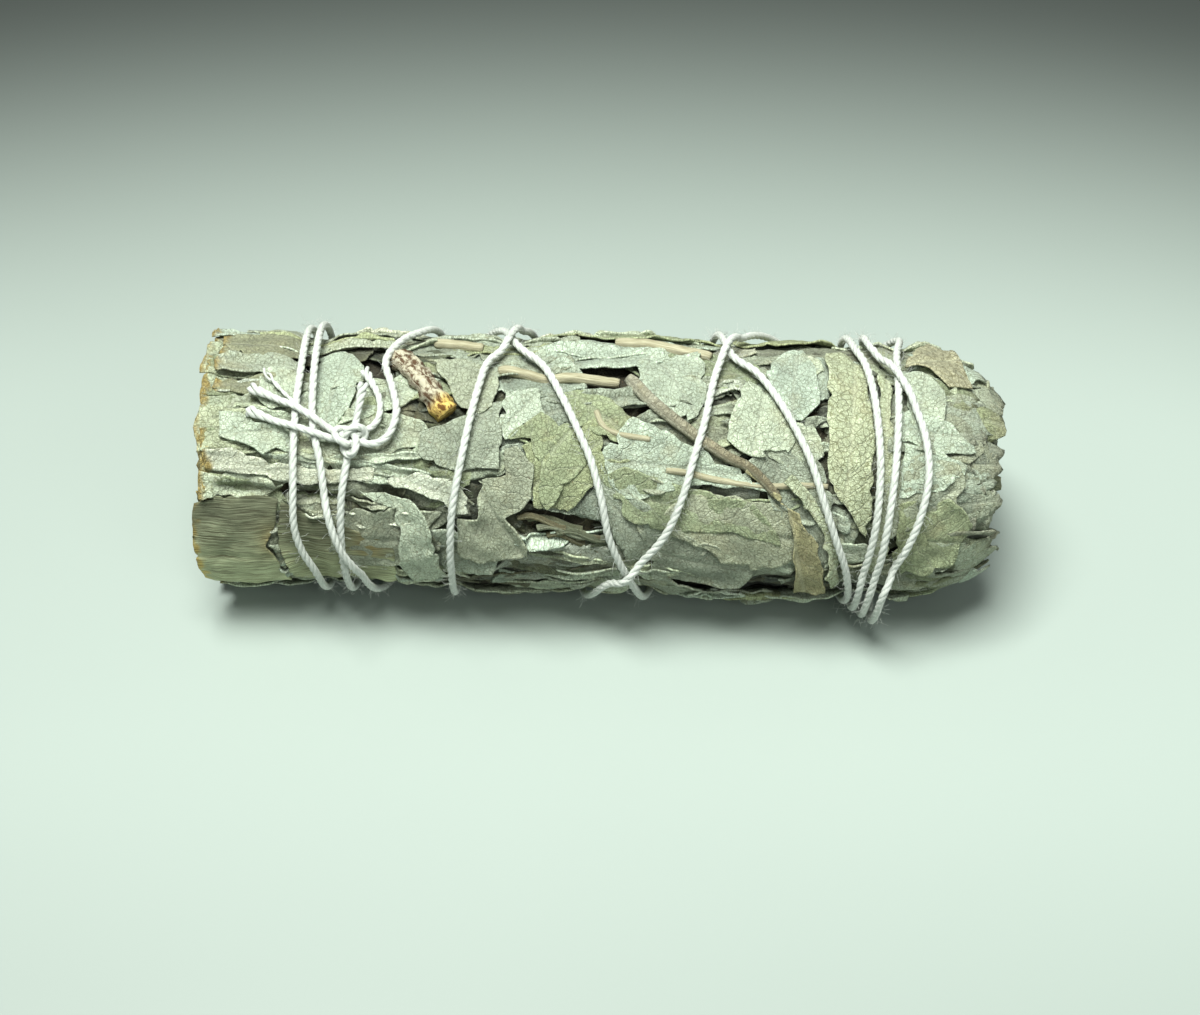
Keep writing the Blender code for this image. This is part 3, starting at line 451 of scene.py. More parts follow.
def laid_sheet(sheets, outline, tone, depth, curl, heading, seed, spacing=0.55, roughness=0.3, tilt=0.0,
               wrinkle=0.16, fold=0.0, pleats=(0, 1, 0), gives_way=False):
    """Adds a leaf that lies on the bunch: its outline is in flat millimetres, (along, arc)."""
    rim = roughen(outline, roughness, seed)
    flat, triangles = cut_sheet(rim, spacing)
    if not len(triangles):
        return
    along, arc = flat.T
    around = arc / BUNCH_RADIUS
    local = flat - rim.mean(0)
    run, across = turned(local, heading)
    rim_width = 1.4
    inwards = np.minimum(1, np.array([np.min(np.hypot(*(rim - place).T)) for place in flat]) / rim_width)
    edge = (1 - inwards) ** 1.6
    half = max(1.0, np.percentile(np.abs(across), 92))
    held = 1 - np.exp(-(on_grid(near_string, along, around) / 1.7) ** 2)
    height = -depth + wrinkle * waves(along, arc, seed, 4.5)
    height += 0.4 * wrinkle * waves(run, across, seed, 1.7)
    height += curl * edge * held * (0.6 + 0.95 * waves(along, arc, seed + 7, 9))
    height -= 0.22 * np.exp(-(across / 0.45) ** 2)
    height += tilt * run / max(1.0, np.abs(run).max())
    height += fold * np.abs(across) / half
    crest, apart, direction = pleats
    fan = turned(local, direction)[1] + 0.35 * waves(along, arc, seed + 5, 8)
    height += crest * (2 * np.abs((fan / apart) % 1 - 0.5) - 0.5)
    radius = bunch_radius(along, around) + height * (0.35 + 0.65 * held)
    if gives_way:
        radius -= on_grid(sunk, along, around)
    # Painted light: rims are lighter as a painted highlight, and leaves that lie lower in the pile are darker
    # as painted shade; the waves are uneven tone.
    shade = 1.12 + 0.1 * waves(run, across, seed + 3, 3.5)[:, None] + 0.16 * edge[:, None]
    shade = shade * np.clip(1.14 + 0.5 * height, 0.3, 1.06)[:, None]
    tones = np.array(tone) * shade
    foot_end = rim[:, 0].min()
    if foot_end < CUT_LINE:
        golden = np.clip((foot_end + 0.9 + 0.5 * waves(along, arc, seed, 1.6) - along) / 0.5, 0, 1)
        tones += (np.array(TONES["gold"]) - tones) * golden[:, None]
    sheets.add(in_space(along, around, radius), triangles, np.stack([run, across], 1), tones)


def flat_outline(places):
    """An outline in (along, around) as flat millimetres, (along, arc)."""
    return [(along, math.radians(around) * BUNCH_RADIUS) for along, around in places]


def sunk_places():
    """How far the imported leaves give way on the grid: under the large leaves, and in the open gaps."""
    u, v = np.meshgrid(GRID_ALONG, (np.radians(GRID_AROUND) + 1.2) % (2 * math.pi) - 1.2, indexing="ij")
    v = v * BUNCH_RADIUS
    sunk = np.zeros(u.shape)
    outlines = [(leaf[5], 0.75) for leaf in HERO_LEAVES] + [(leaf[4], 0.6) for leaf in SHOWN_LEAVES]
    for places, depth in outlines + [(gap, 1.35) for gap in OPEN_GAPS]:
        corners = flat_outline(places)
        inside = np.zeros(u.shape, dtype=bool)
        for (u0, v0), (u1, v1) in zip(corners, corners[1:] + corners[:1]):
            if v0 != v1:
                inside ^= ((v0 > v) != (v1 > v)) & (u < u0 + (v - v0) * (u1 - u0) / (v1 - v0))
        sunk = np.where(inside, np.maximum(sunk, depth), sunk)
    return sunk


def leaf_outline(middle, arc, length, breadth, heading, made, torn=False):
    """Outline of a sage leaf, or of a torn strip of one, in flat millimetres."""
    side = [(-0.5, 0.10), (-0.38, 0.30), (-0.18, 0.45), (0.05, 0.5), (0.25, 0.42), (0.41, 0.24)]
    if torn:
        side = [(-0.5, 0.42), (-0.2, 0.5), (0.1, 0.46), (0.35, 0.4), (0.48, 0.25)]
    edge = [(u + made.uniform(-0.02, 0.02), v * made.uniform(0.8, 1.1)) for u, v in side]
    edge += [(0.5, made.uniform(-0.1, 0.1))]
    edge += [(u + made.uniform(-0.02, 0.02), -v * made.uniform(0.8, 1.1)) for u, v in reversed(side)]
    c, s = math.cos(heading), math.sin(heading)
    return [(middle + u * length * c - v * breadth * s, arc + u * length * s + v * breadth * c)
            for u, v in edge]


def across_line(points, lean):
    """Two directions square to a line at each of its points, carried along without twisting."""
    tangent = np.gradient(points, axis=0)
    tangent /= np.linalg.norm(tangent, axis=1)[:, None]
    normal = np.cross(tangent[0], lean)
    normals = []
    for t in tangent:
        normal = normal - t * np.dot(normal, t)
        normal /= np.linalg.norm(normal)
        normals.append(normal)
    normals = np.array(normals)
    return normals, np.cross(tangent, normals)


def run_along(points):
    """Millimetres from the first point of a line to each of its points."""
    return np.concatenate([[0], np.cumsum(np.linalg.norm(np.diff(points, axis=0), axis=1))]) / MM


def grid_triangles(rows, columns, closed=False):
    """Triangles of a grid of places, its last column joined to its first where it is closed."""
    index = np.arange(rows * columns).reshape(rows, columns)
    if closed:
        index = np.hstack([index, index[:, :1]])
    a, b, c, d = index[:-1, :-1], index[:-1, 1:], index[1:, 1:], index[1:, :-1]
    return np.concatenate([np.stack([a, b, c], -1).reshape(-1, 3), np.stack([a, c, d], -1).reshape(-1, 3)])


def tube_triangles(rows, columns):
    """Triangles of a tube, closed at both ends to two more places after the grid."""
    first = rows * columns
    end = first - columns
    caps = [((k + 1) % columns, k, first) for k in range(columns)]
    caps += [(end + k, end + (k + 1) % columns, first + 1) for k in range(columns)]
    return np.vstack([grid_triangles(rows, columns, True), caps])


def swept(points, radii, sides=10, phase=0.0, bump=None):
    """Tube round a line of points: places, triangles, and (run, turn) for each place."""
    points = np.asarray(points, dtype=float)
    count = len(points)
    normals, sideways = across_line(points, (0.3, 0.5, 0.81))
    turn = np.linspace(0, 2 * math.pi, sides, endpoint=False) + phase
    radii = np.broadcast_to(radii, count)[:, None] * np.ones(sides)
    if bump is not None:
        radii = radii * bump(np.arange(count)[:, None], turn[None, :])
    rings = (points[:, None] + normals[:, None] * (np.cos(turn) * radii)[..., None]
             + sideways[:, None] * (np.sin(turn) * radii)[..., None])
    places = np.vstack([rings.reshape(-1, 3), points[0], points[-1]])
    run = run_along(points)
    flat = np.stack([np.repeat(run, sides), np.tile(turn, count)], 1)
    return places, tube_triangles(count, sides), np.vstack([flat, [[0, -9], [run[-1], -9]]])


# Shader groups
def new_group(name, ins, outs):
    group = bpy.data.node_groups.new(name, "ShaderNodeTree")
    for label, kind in ins:
        group.interface.new_socket(name=label, in_out="INPUT", socket_type=kind)
    for label, kind in outs:
        group.interface.new_socket(name=label, in_out="OUTPUT", socket_type=kind)
    return group, group.nodes.new("NodeGroupInput"), group.nodes.new("NodeGroupOutput")


def node(tree, kind, links=None, **settings):
    """A new node with its settings, its sockets set to a value or linked from another socket."""
    made = tree.nodes.new(kind)
    for key, value in settings.items():
        setattr(made, key, value)
    for key, value in (links or {}).items():
        if isinstance(value, bpy.types.NodeSocket):
            tree.links.new(value, made.inputs[key])
        else:
            made.inputs[key].default_value = value
    return made


def ramp(tree, fac, low, high, to_low=0.0, to_high=1.0, easing="LINEAR"):
    return node(tree, "ShaderNodeMapRange", {0: fac, 1: low, 2: high, 3: to_low, 4: to_high},
                interpolation_type=easing).outputs[0]


def maths(tree, operation, first, second=0.0):
    return node(tree, "ShaderNodeMath", {0: first, 1: second}, operation=operation).outputs[0]


def noise(tree, place, scale, detail, roughness=0.5):
    return node(tree, "ShaderNodeTexNoise",
                {"Vector": place, "Scale": scale, "Detail": detail, "Roughness": roughness})


def mix(tree, fac, one, other, blend="MIX"):
    made = node(tree, "ShaderNodeMix", {0: fac, 6: one, 7: other}, data_type="RGBA", blend_type=blend)
    return made.outputs[2]


def dimmed(tree, colour, share):
    """The colour times a grey share."""
    grey = node(tree, "ShaderNodeCombineColor", {0: share, 1: share, 2: share}).outputs[0]
    return mix(tree, 1.0, colour, grey, "MULTIPLY")


def new_material(name):
    material = bpy.data.materials.new(name)
    material.use_nodes = True
    return material, material.node_tree, material.node_tree.nodes["Principled BSDF"].inputs


def leaf_texture_group():
    """Veins, net and down of a dried sage leaf, from its flat place in millimetres."""
    group, ins, outs = new_group(
        "Sage leaf surface", [("Place", "NodeSocketVector"), ("Net size", "NodeSocketFloat")],
        [("Veins", "NodeSocketFloat"), ("Net", "NodeSocketFloat"), ("Mottle", "NodeSocketFloat"),
         ("Height", "NodeSocketFloat")])
    place = ins.outputs["Place"]
    parts = node(group, "ShaderNodeSeparateXYZ", {0: place})
    run, across = parts.outputs[0], maths(group, "ABSOLUTE", parts.outputs[1])
    bent = noise(group, place, 0.5, 2.0).outputs[0]
    slant = maths(group, "SUBTRACT", run, maths(group, "MULTIPLY", across, 0.95))
    slant = maths(group, "ADD", slant, maths(group, "MULTIPLY", bent, 2.4))
    tooth = maths(group, "ABSOLUTE", maths(group, "SUBTRACT", maths(group, "FRACT", maths(
        group, "MULTIPLY", slant, 0.36)), 0.5))
    side_veins = ramp(group, tooth, 0.0, 0.075, 1.0, 0.0)
    midrib = ramp(group, across, 0.12, 0.4, 1.0, 0.0)
    veins = maths(group, "MAXIMUM", side_veins, midrib)
    scale = maths(group, "DIVIDE", 1.0, ins.outputs["Net size"])
    wobble = noise(group, place, 1.6, 2.0).outputs["Color"]
    warped = node(group, "ShaderNodeVectorMath", {0: wobble, 1: (0.7, 0.7, 0.7)}, operation="MULTIPLY")
    moved = node(group, "ShaderNodeVectorMath", {0: place, 1: warped.outputs[0]}, operation="ADD").outputs[0]
    cells = node(group, "ShaderNodeTexVoronoi", {"Vector": moved, "Scale": scale}, feature="DISTANCE_TO_EDGE")
    net = ramp(group, cells.outputs["Distance"], 0.0, 0.09, 1.0, 0.0)
    fine_scale = maths(group, "MULTIPLY", scale, 2.6)
    fine_cells = node(group, "ShaderNodeTexVoronoi", {"Vector": moved, "Scale": fine_scale},
                      feature="DISTANCE_TO_EDGE")
    fine_net = ramp(group, fine_cells.outputs["Distance"], 0.0, 0.16, 1.0, 0.0)
    mottle = noise(group, place, 0.9, 8.0, 0.72).outputs[0]
    net_all = maths(group, "MAXIMUM", net, maths(group, "MULTIPLY", fine_net, 0.55))
    height = maths(group, "SUBTRACT", mottle, maths(group, "MULTIPLY", net_all, 0.42))
    height = maths(group, "SUBTRACT", height, maths(group, "MULTIPLY", veins, 0.5))
    for label, socket in (("Veins", veins), ("Net", net_all), ("Mottle", mottle), ("Height", height)):
        group.links.new(socket, outs.inputs[label])
    return group


LEAF_SURFACE = leaf_texture_group()


def leaf_material(name, vein_colour, net_size, net_share, vein_share, bump, tint=(1, 1, 1, 1)):
    """Dry downy leaf: the leaf's own tone, darker net, lighter veins, yellow patches and rusty specks."""
    material, tree, inputs = new_material(name)
    tone = node(tree, "ShaderNodeAttribute", attribute_name="leaf_tone").outputs["Color"]
    place = node(tree, "ShaderNodeUVMap", uv_map="leaf_place").outputs[0]
    world = node(tree, "ShaderNodeTexCoord").outputs["Object"]
    surface = node(tree, "ShaderNodeGroup", {"Place": place, "Net size": net_size}, node_tree=LEAF_SURFACE)
    colour = mix(tree, 1.0, tone, tint, "MULTIPLY")
    colour = dimmed(tree, colour, ramp(tree, surface.outputs["Mottle"], 0.3, 0.7, 0.78, 1.2))
    patches = noise(tree, world, 230.0, 5.0, 0.6)
    yellow = ramp(tree, patches.outputs[0], 0.54, 0.72, 0.0, 0.4)
    colour = mix(tree, yellow, colour, (0.37, 0.34, 0.19, 1))
    colour = mix(tree, maths(tree, "MULTIPLY", surface.outputs["Net"], net_share), colour,
                 mix(tree, 1.0, colour, (0.36, 0.34, 0.26, 1), "MULTIPLY"))
    colour = mix(tree, maths(tree, "MULTIPLY", surface.outputs["Veins"], vein_share), colour, vein_colour)
    specks = noise(tree, world, 2600.0, 3.0)
    colour = mix(tree, ramp(tree, specks.outputs[0], 0.66, 0.74, 0.0, 0.55), colour, (0.14, 0.08, 0.04, 1))
    tree.links.new(colour, inputs["Base Color"])
    inputs["Roughness"].default_value = 0.82
    inputs["Specular IOR Level"].default_value = 0.16
    inputs["Sheen Weight"].default_value = 0.06
    raised = node(tree, "ShaderNodeBump",
                  {"Height": surface.outputs["Height"], "Strength": bump, "Distance": 0.00045}).outputs[0]
    grain = noise(tree, world, 5200.0, 3.0).outputs[0]
    raised_more = node(tree, "ShaderNodeBump",
                       {"Height": grain, "Strength": 0.7, "Distance": 0.00012, "Normal": raised})
    tree.links.new(raised_more.outputs[0], inputs["Normal"])
    return material


def fibre_material(name, dark, light, stretch, roughness, bump, blend=0.14):
    """Material with streaks that run along the piece: bark, peeled stem, leaf base or cotton."""
    material, tree, inputs = new_material(name)
    place = node(tree, "ShaderNodeUVMap", uv_map="leaf_place").outputs[0]
    moved = node(tree, "ShaderNodeMapping", {0: place, 3: stretch}).outputs[0]
    streaks = noise(tree, moved, 1.0, 6.0, 0.65).outputs[0]
    tone = node(tree, "ShaderNodeAttribute", attribute_name="leaf_tone").outputs["Color"]
    between = ramp(tree, streaks, 0.5 - blend, 0.5 + blend, 0.0, 1.0)
    colour = mix(tree, 1.0, mix(tree, between, dark, light), tone, "MULTIPLY")
    tree.links.new(colour, inputs["Base Color"])
    inputs["Roughness"].default_value = roughness
    inputs["Specular IOR Level"].default_value = 0.3
    raised = node(tree, "ShaderNodeBump", {"Height": streaks, "Strength": bump, "Distance": 0.0002})
    tree.links.new(raised.outputs[0], inputs["Normal"])
    return material


sage = leaf_material("Dried sage leaf", (0.50, 0.53, 0.40, 1), 0.62, 0.8, 0.18, 0.75)
netted = leaf_material("Dried sage leaf with an open net", (0.52, 0.54, 0.37, 1), 0.8, 1.0, 0.3, 0.75)
# Its tint darkens the foot's layers and the middle of the bunch: painted shade.
shaded_inner_leaf = leaf_material("Inner sage leaf, painted shade", (0.40, 0.38, 0.25, 1), 0.8, 0.4, 0.2, 0.7, (0.8, 0.76, 0.66, 1))
ribbed = fibre_material("Ribbed leaf base", (0.46, 0.42, 0.35, 1), (1.42, 1.44, 1.34, 1), (0.22, 5.5, 1),
                        0.85, 1.0, 0.1)
peeled = fibre_material("Peeled stem", (0.22, 0.20, 0.115, 1), (0.47, 0.455, 0.31, 1), (0.3, 3.4, 1),
                        0.8, 0.8)
bark = fibre_material("Flaking bark", (0.085, 0.05, 0.025, 1), (0.45, 0.43, 0.31, 1), (0.9, 1.7, 1),
                      0.85, 1.0, 0.05)
cotton = fibre_material("Cotton string", (0.44, 0.47, 0.42, 1), (0.63, 0.665, 0.605, 1), (1.2, 2.6, 1),
                        0.95, 0.5)

sunk = sunk_places()

# The large leaves
LARGE_LEAF_SPACING = 0.42
TAN_LEAVES = ("wide_head_leaf", "tan_head_leaf", "tan_corner_leaf", "midrib_leaf", "folded_strip_leaf")
STALK_PALE = np.array((0.37, 0.365, 0.27))
STALK_BROWN = np.array((0.255, 0.232, 0.145))
STAIN = np.array((0.20, 0.15, 0.05))
for number, (name, tone, depth, curl, heading, outline) in enumerate(HERO_LEAVES):
    sheets = Sheets()
    rolled = tone == "roll"
    if name == "stalked_leaf":
        fine = smooth_route(LONG_STALK, 0.4)
        points = in_space(*fine.T, bunch_radius(*fine.T) + 0.28)
        taper = np.interp(np.linspace(0, 1, len(fine)), [0, 0.04, 0.5, 1], [0.6, 0.8, 0.62, 0.4]) * MM
        places, triangles, flat = swept(points, taper, 14, 0.0,
                                        lambda step, turn: 1 + 0.1 * np.sin(turn * 4 + step * 0.04))
        aged = np.clip(flat[:, 0] / flat[:, 0].max() * 1.6 - 0.2, 0, 1)[:, None]
        sheets.add(places, triangles, flat * (1, 0.3), STALK_PALE * (1 - aged) + STALK_BROWN * aged)
    laid_sheet(sheets, flat_outline(outline), tinted(tone, 0.05), depth, curl, heading, 100 + number,
               LARGE_LEAF_SPACING, roughness=0.12 if rolled else 0.2, pleats=PLEATS.get(name, (0, 1, 0)))
    material = netted if tone in ("beige", "tan") else sage
    if rolled:
        material = ribbed
        run, across = sheets.flat[-1].T
        # Painted light and shade across the rolled leaf: lighter towards its lower side, darker towards its
        # upper rim, which the leaf above shades. The stain is the leaf's own colour.
        painted_shading = np.interp(across, [-6, 0, 3, 7], [1.5, 1.28, 0.78, 0.42])[:, None]
        stained = 0.7 * np.exp(-((run - 4.6) / 1.8) ** 2 - ((across - 2.5) / 2.6) ** 2)[:, None]
        tones = sheets.tones[-1] * painted_shading
        sheets.tones[-1] = tones + (STAIN - tones) * stained
    slot = "tan_leaf" if name in TAN_LEAVES else "sage_leaf"
    sheets.make(name + "_fine", material, slot, [name])

# Outer leaves of the sides and back, each for one leaf solid
made_back = np.random.default_rng(5)
for column, around in enumerate((134, 168, 202, 236, 303)):
    for row in range(4):
        number = column * 4 + row + 1
        middle = -34.5 + 19 * row + (9 if column % 2 else 0)
        arc = math.radians(around if around < 250 else around - 360) * BUNCH_RADIUS
        sheets = Sheets()
        outline = leaf_outline(middle, arc, made_back.uniform(18, 22), made_back.uniform(8.5, 10.5),
                               math.radians(made_back.uniform(-14, 14)), made_back)
        tone = ("grey", "mint", "olive", "pale", "grey")[int(made_back.integers(0, 5))]
        laid_sheet(sheets, outline, tinted(tone), 0.15, 0.4, made_back.uniform(-14, 14), 300 + number, 0.6)
        sheets.make(f"back_leaf_{number}_fine", sage, "sage_leaf", [f"back_leaf_{number}"])

# Layers of packed leaves, deep ones first and narrow folds last: count, depth, breadths, lengths, spacing
PACKED_LAYERS = [
    (110, 1.25, (6, 10), (14, 24), 0.8),
    (120, 0.8, (4.5, 9), (13, 24), 0.65),
    (110, 0.55, (1.0, 2.4), (8, 22), 0.5),
]
DEEP_TONES = ("olive", "grey", "roll", "grey")
OUTER_TONES = ("grey", "mint", "olive", "grey", "pale", "grey", "beige", "mint")
PACKED_REACH = 47.5
packed = [Sheets() for _ in PACKED_LAYERS]
made = np.random.default_rng(21)
for layer, (count, depth, breadths, lengths, spacing) in enumerate(PACKED_LAYERS):
    tones = OUTER_TONES if layer else DEEP_TONES
    for number in range(count):
        middle = made.uniform(-45, 43)
        arc = ((number * EVEN_STEP + made.uniform(-0.05, 0.05)) % 1) * 2 * math.pi * BUNCH_RADIUS
        heading = made.normal(0, 0.28 if layer < 2 else 0.12)
        length = made.uniform(*lengths)
        middle = float(np.clip(middle, -PACKED_REACH + length / 2, PACKED_REACH - length / 2 + 1))
        breadth = made.uniform(*breadths)
        outline = leaf_outline(middle, arc, length, breadth, heading, made, made.random() < 0.45)
        # The deepest layer is darkened to half its tone: painted shade.
        tone = tinted(tones[int(made.integers(0, len(tones)))], 0.16) * (1 if layer else 0.5)
        laid_sheet(packed[layer], outline, tone, depth + made.uniform(-0.15, 0.25), 0.4,
                   math.degrees(heading), 1000 * layer + number, spacing, roughness=0.22,
                   tilt=made.uniform(0.1, 0.5), wrinkle=0.22,
                   fold=made.choice([0, 0, 0.5, -0.5]) if layer < 2 else 0.9, gives_way=True)

# Leaves that show on the front
shown = Sheets()
for number, (tone, depth, curl, heading, outline) in enumerate(SHOWN_LEAVES):
    laid_sheet(shown, flat_outline(outline), tinted(tone, 0.06), depth, curl, heading, 700 + number, 0.5)

# Leaf bases round the rim of the foot
BASE_COUNT = 52
BASE_END = -48.2
for number in range(BASE_COUNT):
    arc = (number * EVEN_STEP % 1) * 2 * math.pi * BUNCH_RADIUS
    end, length, half = BASE_END + made.normal(0, 0.45), made.uniform(8, 14), made.uniform(1.6, 4)
    outline = [(end, arc - half), (end + made.uniform(-0.3, 0.3), arc), (end, arc + half),
               (end + length * 0.7, arc + half * 0.9), (end + length, arc),
               (end + length * 0.7, arc - half * 0.9)]
    laid_sheet(shown, outline, tinted(("grey", "mint", "olive", "beige")[number % 4], 0.15),
               made.uniform(0.25, 1.1), 0.35, 0, 4000 + number, 0.55, roughness=0.25, tilt=-0.2,
               pleats=(0.25, made.uniform(1, 1.8), 0), gives_way=True)

# Thin stalks in the open gap of the middle, darkened as painted shade
GAP_STALKS = 9
for number in range(GAP_STALKS):
    along, around = -9 + 1.2 * number, math.radians(20 - 1.9 * number + made.uniform(-5, 5))
    step = np.linspace(0, 1, 24)
    line = (along + made.uniform(4, 8) * step, around - 0.06 * step + 0.03 * np.sin(step * 5))
    points = in_space(*line, bunch_radius(*line) - 0.75 - 0.3 * (number % 2))
    stalk = swept(points, made.uniform(0.2, 0.42) * MM, 8)
    # Their tone is darkened to 0.6: painted shade in the gap.
    shown.add(*stalk, tinted(("brown", "olive", "beige")[number % 3]) * 0.6)

# Foot: rolled and layered leaf bases, cut off level
FOOT_LAYERS = 150
FOOT_RADIUS = 14.3
FOOT_END = -47.6
STEPS_BACK = np.array([0, 0.3, 0.8, 2.0, 4.2])
RIM_WAVER = np.array([1, 0.5, 0, 0, 0])[:, None]
RIM_GOLD = np.array([1, 0.35, 0, 0, 0])[:, None, None]
foot = Sheets()
steps, rows = 12, len(STEPS_BACK)
for number in range(FOOT_LAYERS):
    out = FOOT_RADIUS * math.sqrt((number + 0.5) / FOOT_LAYERS)
    direction = number * EVEN_TURN
    arc_length = made.uniform(3, 8)
    swing = np.linspace(-0.5, 0.5, steps) * arc_length
    bend = made.uniform(0.5, 1.6)
    lean = made.normal(0, 0.35)
    y = out + bend * (-(swing / arc_length * 2) ** 2) + 0.25 * np.sin(swing * 2 + number)
    local = np.stack([y * math.cos(direction) - swing * math.sin(direction + lean),
                      y * math.sin(direction) + swing * math.cos(direction + lean)], 1)
    size = np.linalg.norm(local, axis=1)
    local *= np.minimum(1, (FOOT_RADIUS + 0.3) / np.maximum(size, 1e-6))[:, None]
    end = FOOT_END + made.normal(0, 0.45) - 0.5 * made.random()
    along = (end + STEPS_BACK)[:, None] + 0.18 * np.sin(swing * 5 + number) * RIM_WAVER
    places = from_axis(along, local[:, 0], local[:, 1])
    flat = np.stack(np.broadcast_arrays(swing, along), -1)
    rim = RIM_GOLD * np.ones((rows, steps, 1))
    tone = tinted(("grey", "pale", "tan", "beige")[number % 4], 0.2) * 0.8
    tones = tone * (1 - rim) + np.array(TONES["gold"]) * rim * 0.75
    foot.add(places.reshape(-1, 3), grid_triangles(rows, steps), flat.reshape(-1, 2), tones.reshape(-1, 3))

# Head: ragged leaf tips that point out along the bunch, in crowns one inside the other
HEAD_TIPS = 210
HEAD_RADIUS = 15.2
HEAD_TONES = ("grey", "olive", "mint", "beige", "grey", "mint", "grey")
head = Sheets()
for number in range(HEAD_TIPS):
    out = HEAD_RADIUS * math.sqrt((number + 0.5) / HEAD_TIPS)
    direction = number * EVEN_TURN + made.uniform(-0.1, 0.1)
    tip = 46.8 + 5.0 * made.random() ** 1.2 * (1 - 0.25 * (out / HEAD_RADIUS) ** 4)
    length, breadth = made.uniform(8, 12), made.uniform(3.5, 7.5)
    outline = leaf_outline(0, 0, length, breadth, 0, made, made.random() < 0.3)
    flat, triangles = cut_sheet(roughen(outline, 0.4, 5000 + number), 0.85)
    run, across = flat.T
    cup = made.uniform(0.02, 0.09)
    along = tip - length / 2 + run
    lean = made.normal(0.0, 0.10)
    near = np.clip((along - 43) / 7, 0, 1)
    level = out + run * lean - cup * across ** 2 + 0.5 * waves(run, across, 6000 + number, 3)
    limit = envelope(along) - 0.1 + 0.9 * near * (number % 5 == 0)
    roll = made.normal(0, 0.5)
    y = level * math.cos(direction) - across * math.sin(direction + roll)
    z = level * math.sin(direction) + across * math.cos(direction + roll)
    shrink = np.minimum(1, limit / np.maximum(np.hypot(y, z), 1e-6))
    tone = tinted(HEAD_TONES[number % 7], 0.22)
    # Tips near the middle of the head are darker: painted shade.
    if out < 12:
        tone = tone * 0.85
    brown = np.clip((run / length - 0.3) / 0.2, 0, 1)[:, None] * 0.35
    tones = tone * (1 - brown) + np.array(TONES["tan"]) * brown
    head.add(from_axis(along, y * shrink, z * shrink, 0.15), triangles, flat, tones)

# Middle of the bunch, painted near-black as shade, seen only in the gaps
MIDDLE_ENDS = np.array([-46.6, 45.2])
MIDDLE_DEPTH = 1.95
shaded_middle = Sheets()
rows, columns = 120, 90
along, around = np.meshgrid(np.linspace(*MIDDLE_ENDS, rows),
                            np.linspace(0, 2 * math.pi, columns, endpoint=False), indexing="ij")
radius = bunch_radius(along, around) - MIDDLE_DEPTH
radius = radius + 0.25 * np.sin(around * 34 + 3 * np.sin(along * 0.3)) + 0.2 * waves(along, around * 16, 3, 5)
radius[-3:] *= np.array([0.97, 0.93, 0.88])[:, None]
places = np.vstack([in_space(along, around, radius).reshape(-1, 3), from_axis(MIDDLE_ENDS, 0, 0)])
flat = np.vstack([np.stack([along.ravel(), around.ravel() * 16], 1), np.zeros((2, 2))])
shaded_middle.add(places, tube_triangles(rows, columns)[:, ::-1], flat, TONES["dark"])

for layer, name in enumerate(("deep_leaves", "packed_leaves", "folded_leaves")):
    packed[layer].make(name, sage, "sage_leaf", ["leaf_bunch"])
shown.make("shown_leaves", sage, "sage_leaf", ["leaf_bunch"])
foot.make("foot_layers", shaded_inner_leaf, "sage_leaf", ["leaf_bunch"], 0.3)
head.make("head_tips", sage, "sage_leaf", ["leaf_bunch"])
shaded_middle.make("painted_shade_middle", shaded_inner_leaf, "sage_leaf", ["leaf_bunch"], 0)

# Stems
for number, (name, kind, radius, rise, route) in enumerate(STEMS):
    sheets = Sheets()
    has_bark = kind == "bark"
    fine = smooth_route(route, 0.3)
    points = in_space(*fine.T, bunch_radius(*fine.T) - 0.35 + rise)
    rough = 0.2 if has_bark else 0.05

    def bump(step, turn, rough=rough, number=number):
        furrows = np.sin(turn * 3 + step * 0.13 + number) * 0.5 + np.sin(turn * 7 + step * 0.5) * 0.5
        return 1 + rough * (furrows + 0.6 * np.sin(step * 0.9 + turn * 2))

    widths = [0.8, 1, 1.1, 1.0] if has_bark else [0.8, 1, 0.95, 0.75]
    taper = radius * MM * np.interp(np.linspace(0, 1, len(fine)), [0, 0.05, 0.95, 1], widths)
    places, triangles, flat = swept(points, taper, 16, 0.3, bump)
    tones = np.ones((len(places), 3))
    if has_bark:
        broken = np.clip((flat[:, 0] - flat[:, 0].max() + 2.6) / 1.2, 0, 1)[:, None]
        tones = tones * (1 - broken) + np.array((1.5, 1.15, 0.45)) * broken
    sheets.add(places, triangles, flat, tones)
    sheets.make(name + "_fine", bark if has_bark else peeled, "bark" if has_bark else "woody_stem", [name], 0)
for number, (out, around, radius, end) in enumerate(CUT_STEMS, 1):
    sheets = Sheets()
    turn = math.radians(around)
    points = from_axis(np.linspace(end, -38, 30), out * math.cos(turn), out * math.sin(turn))
    stem = swept(points, radius * MM, 24, 0.0,
                 lambda step, turn: 1 + 0.05 * np.sin(turn * 5 + number) + 0.03 * np.sin(turn * 9))
    sheets.add(*stem, (1, 1, 1))
    sheets.make(f"cut_stem_{number}_fine", peeled, "woody_stem", [f"cut_stem_{number}"], 0)

# The string: three plies twisted together
string = Sheets()


def add_twisted(points, thickness, plies=3, pitch=3.7, fray=0.0):
    """A twisted string along the points, its plies spreading at the end by fray."""
    normals, sideways = across_line(points, (0.2, 0.4, 0.9))
    run = run_along(points)
    spread = np.clip((run - run[-1] + 4) / 4, 0, 1) ** 2 * fray
    reach = (0.31 * thickness + spread) * MM
    for ply in range(plies):
        angle = 2 * math.pi * (run / pitch + ply / plies)
        centre_line = (points + normals * (np.cos(angle) * reach)[:, None]
                       + sideways * (np.sin(angle) * reach)[:, None])
        string.add(*swept(centre_line, 0.56 * thickness * MM, 8), (1, 1, 1))


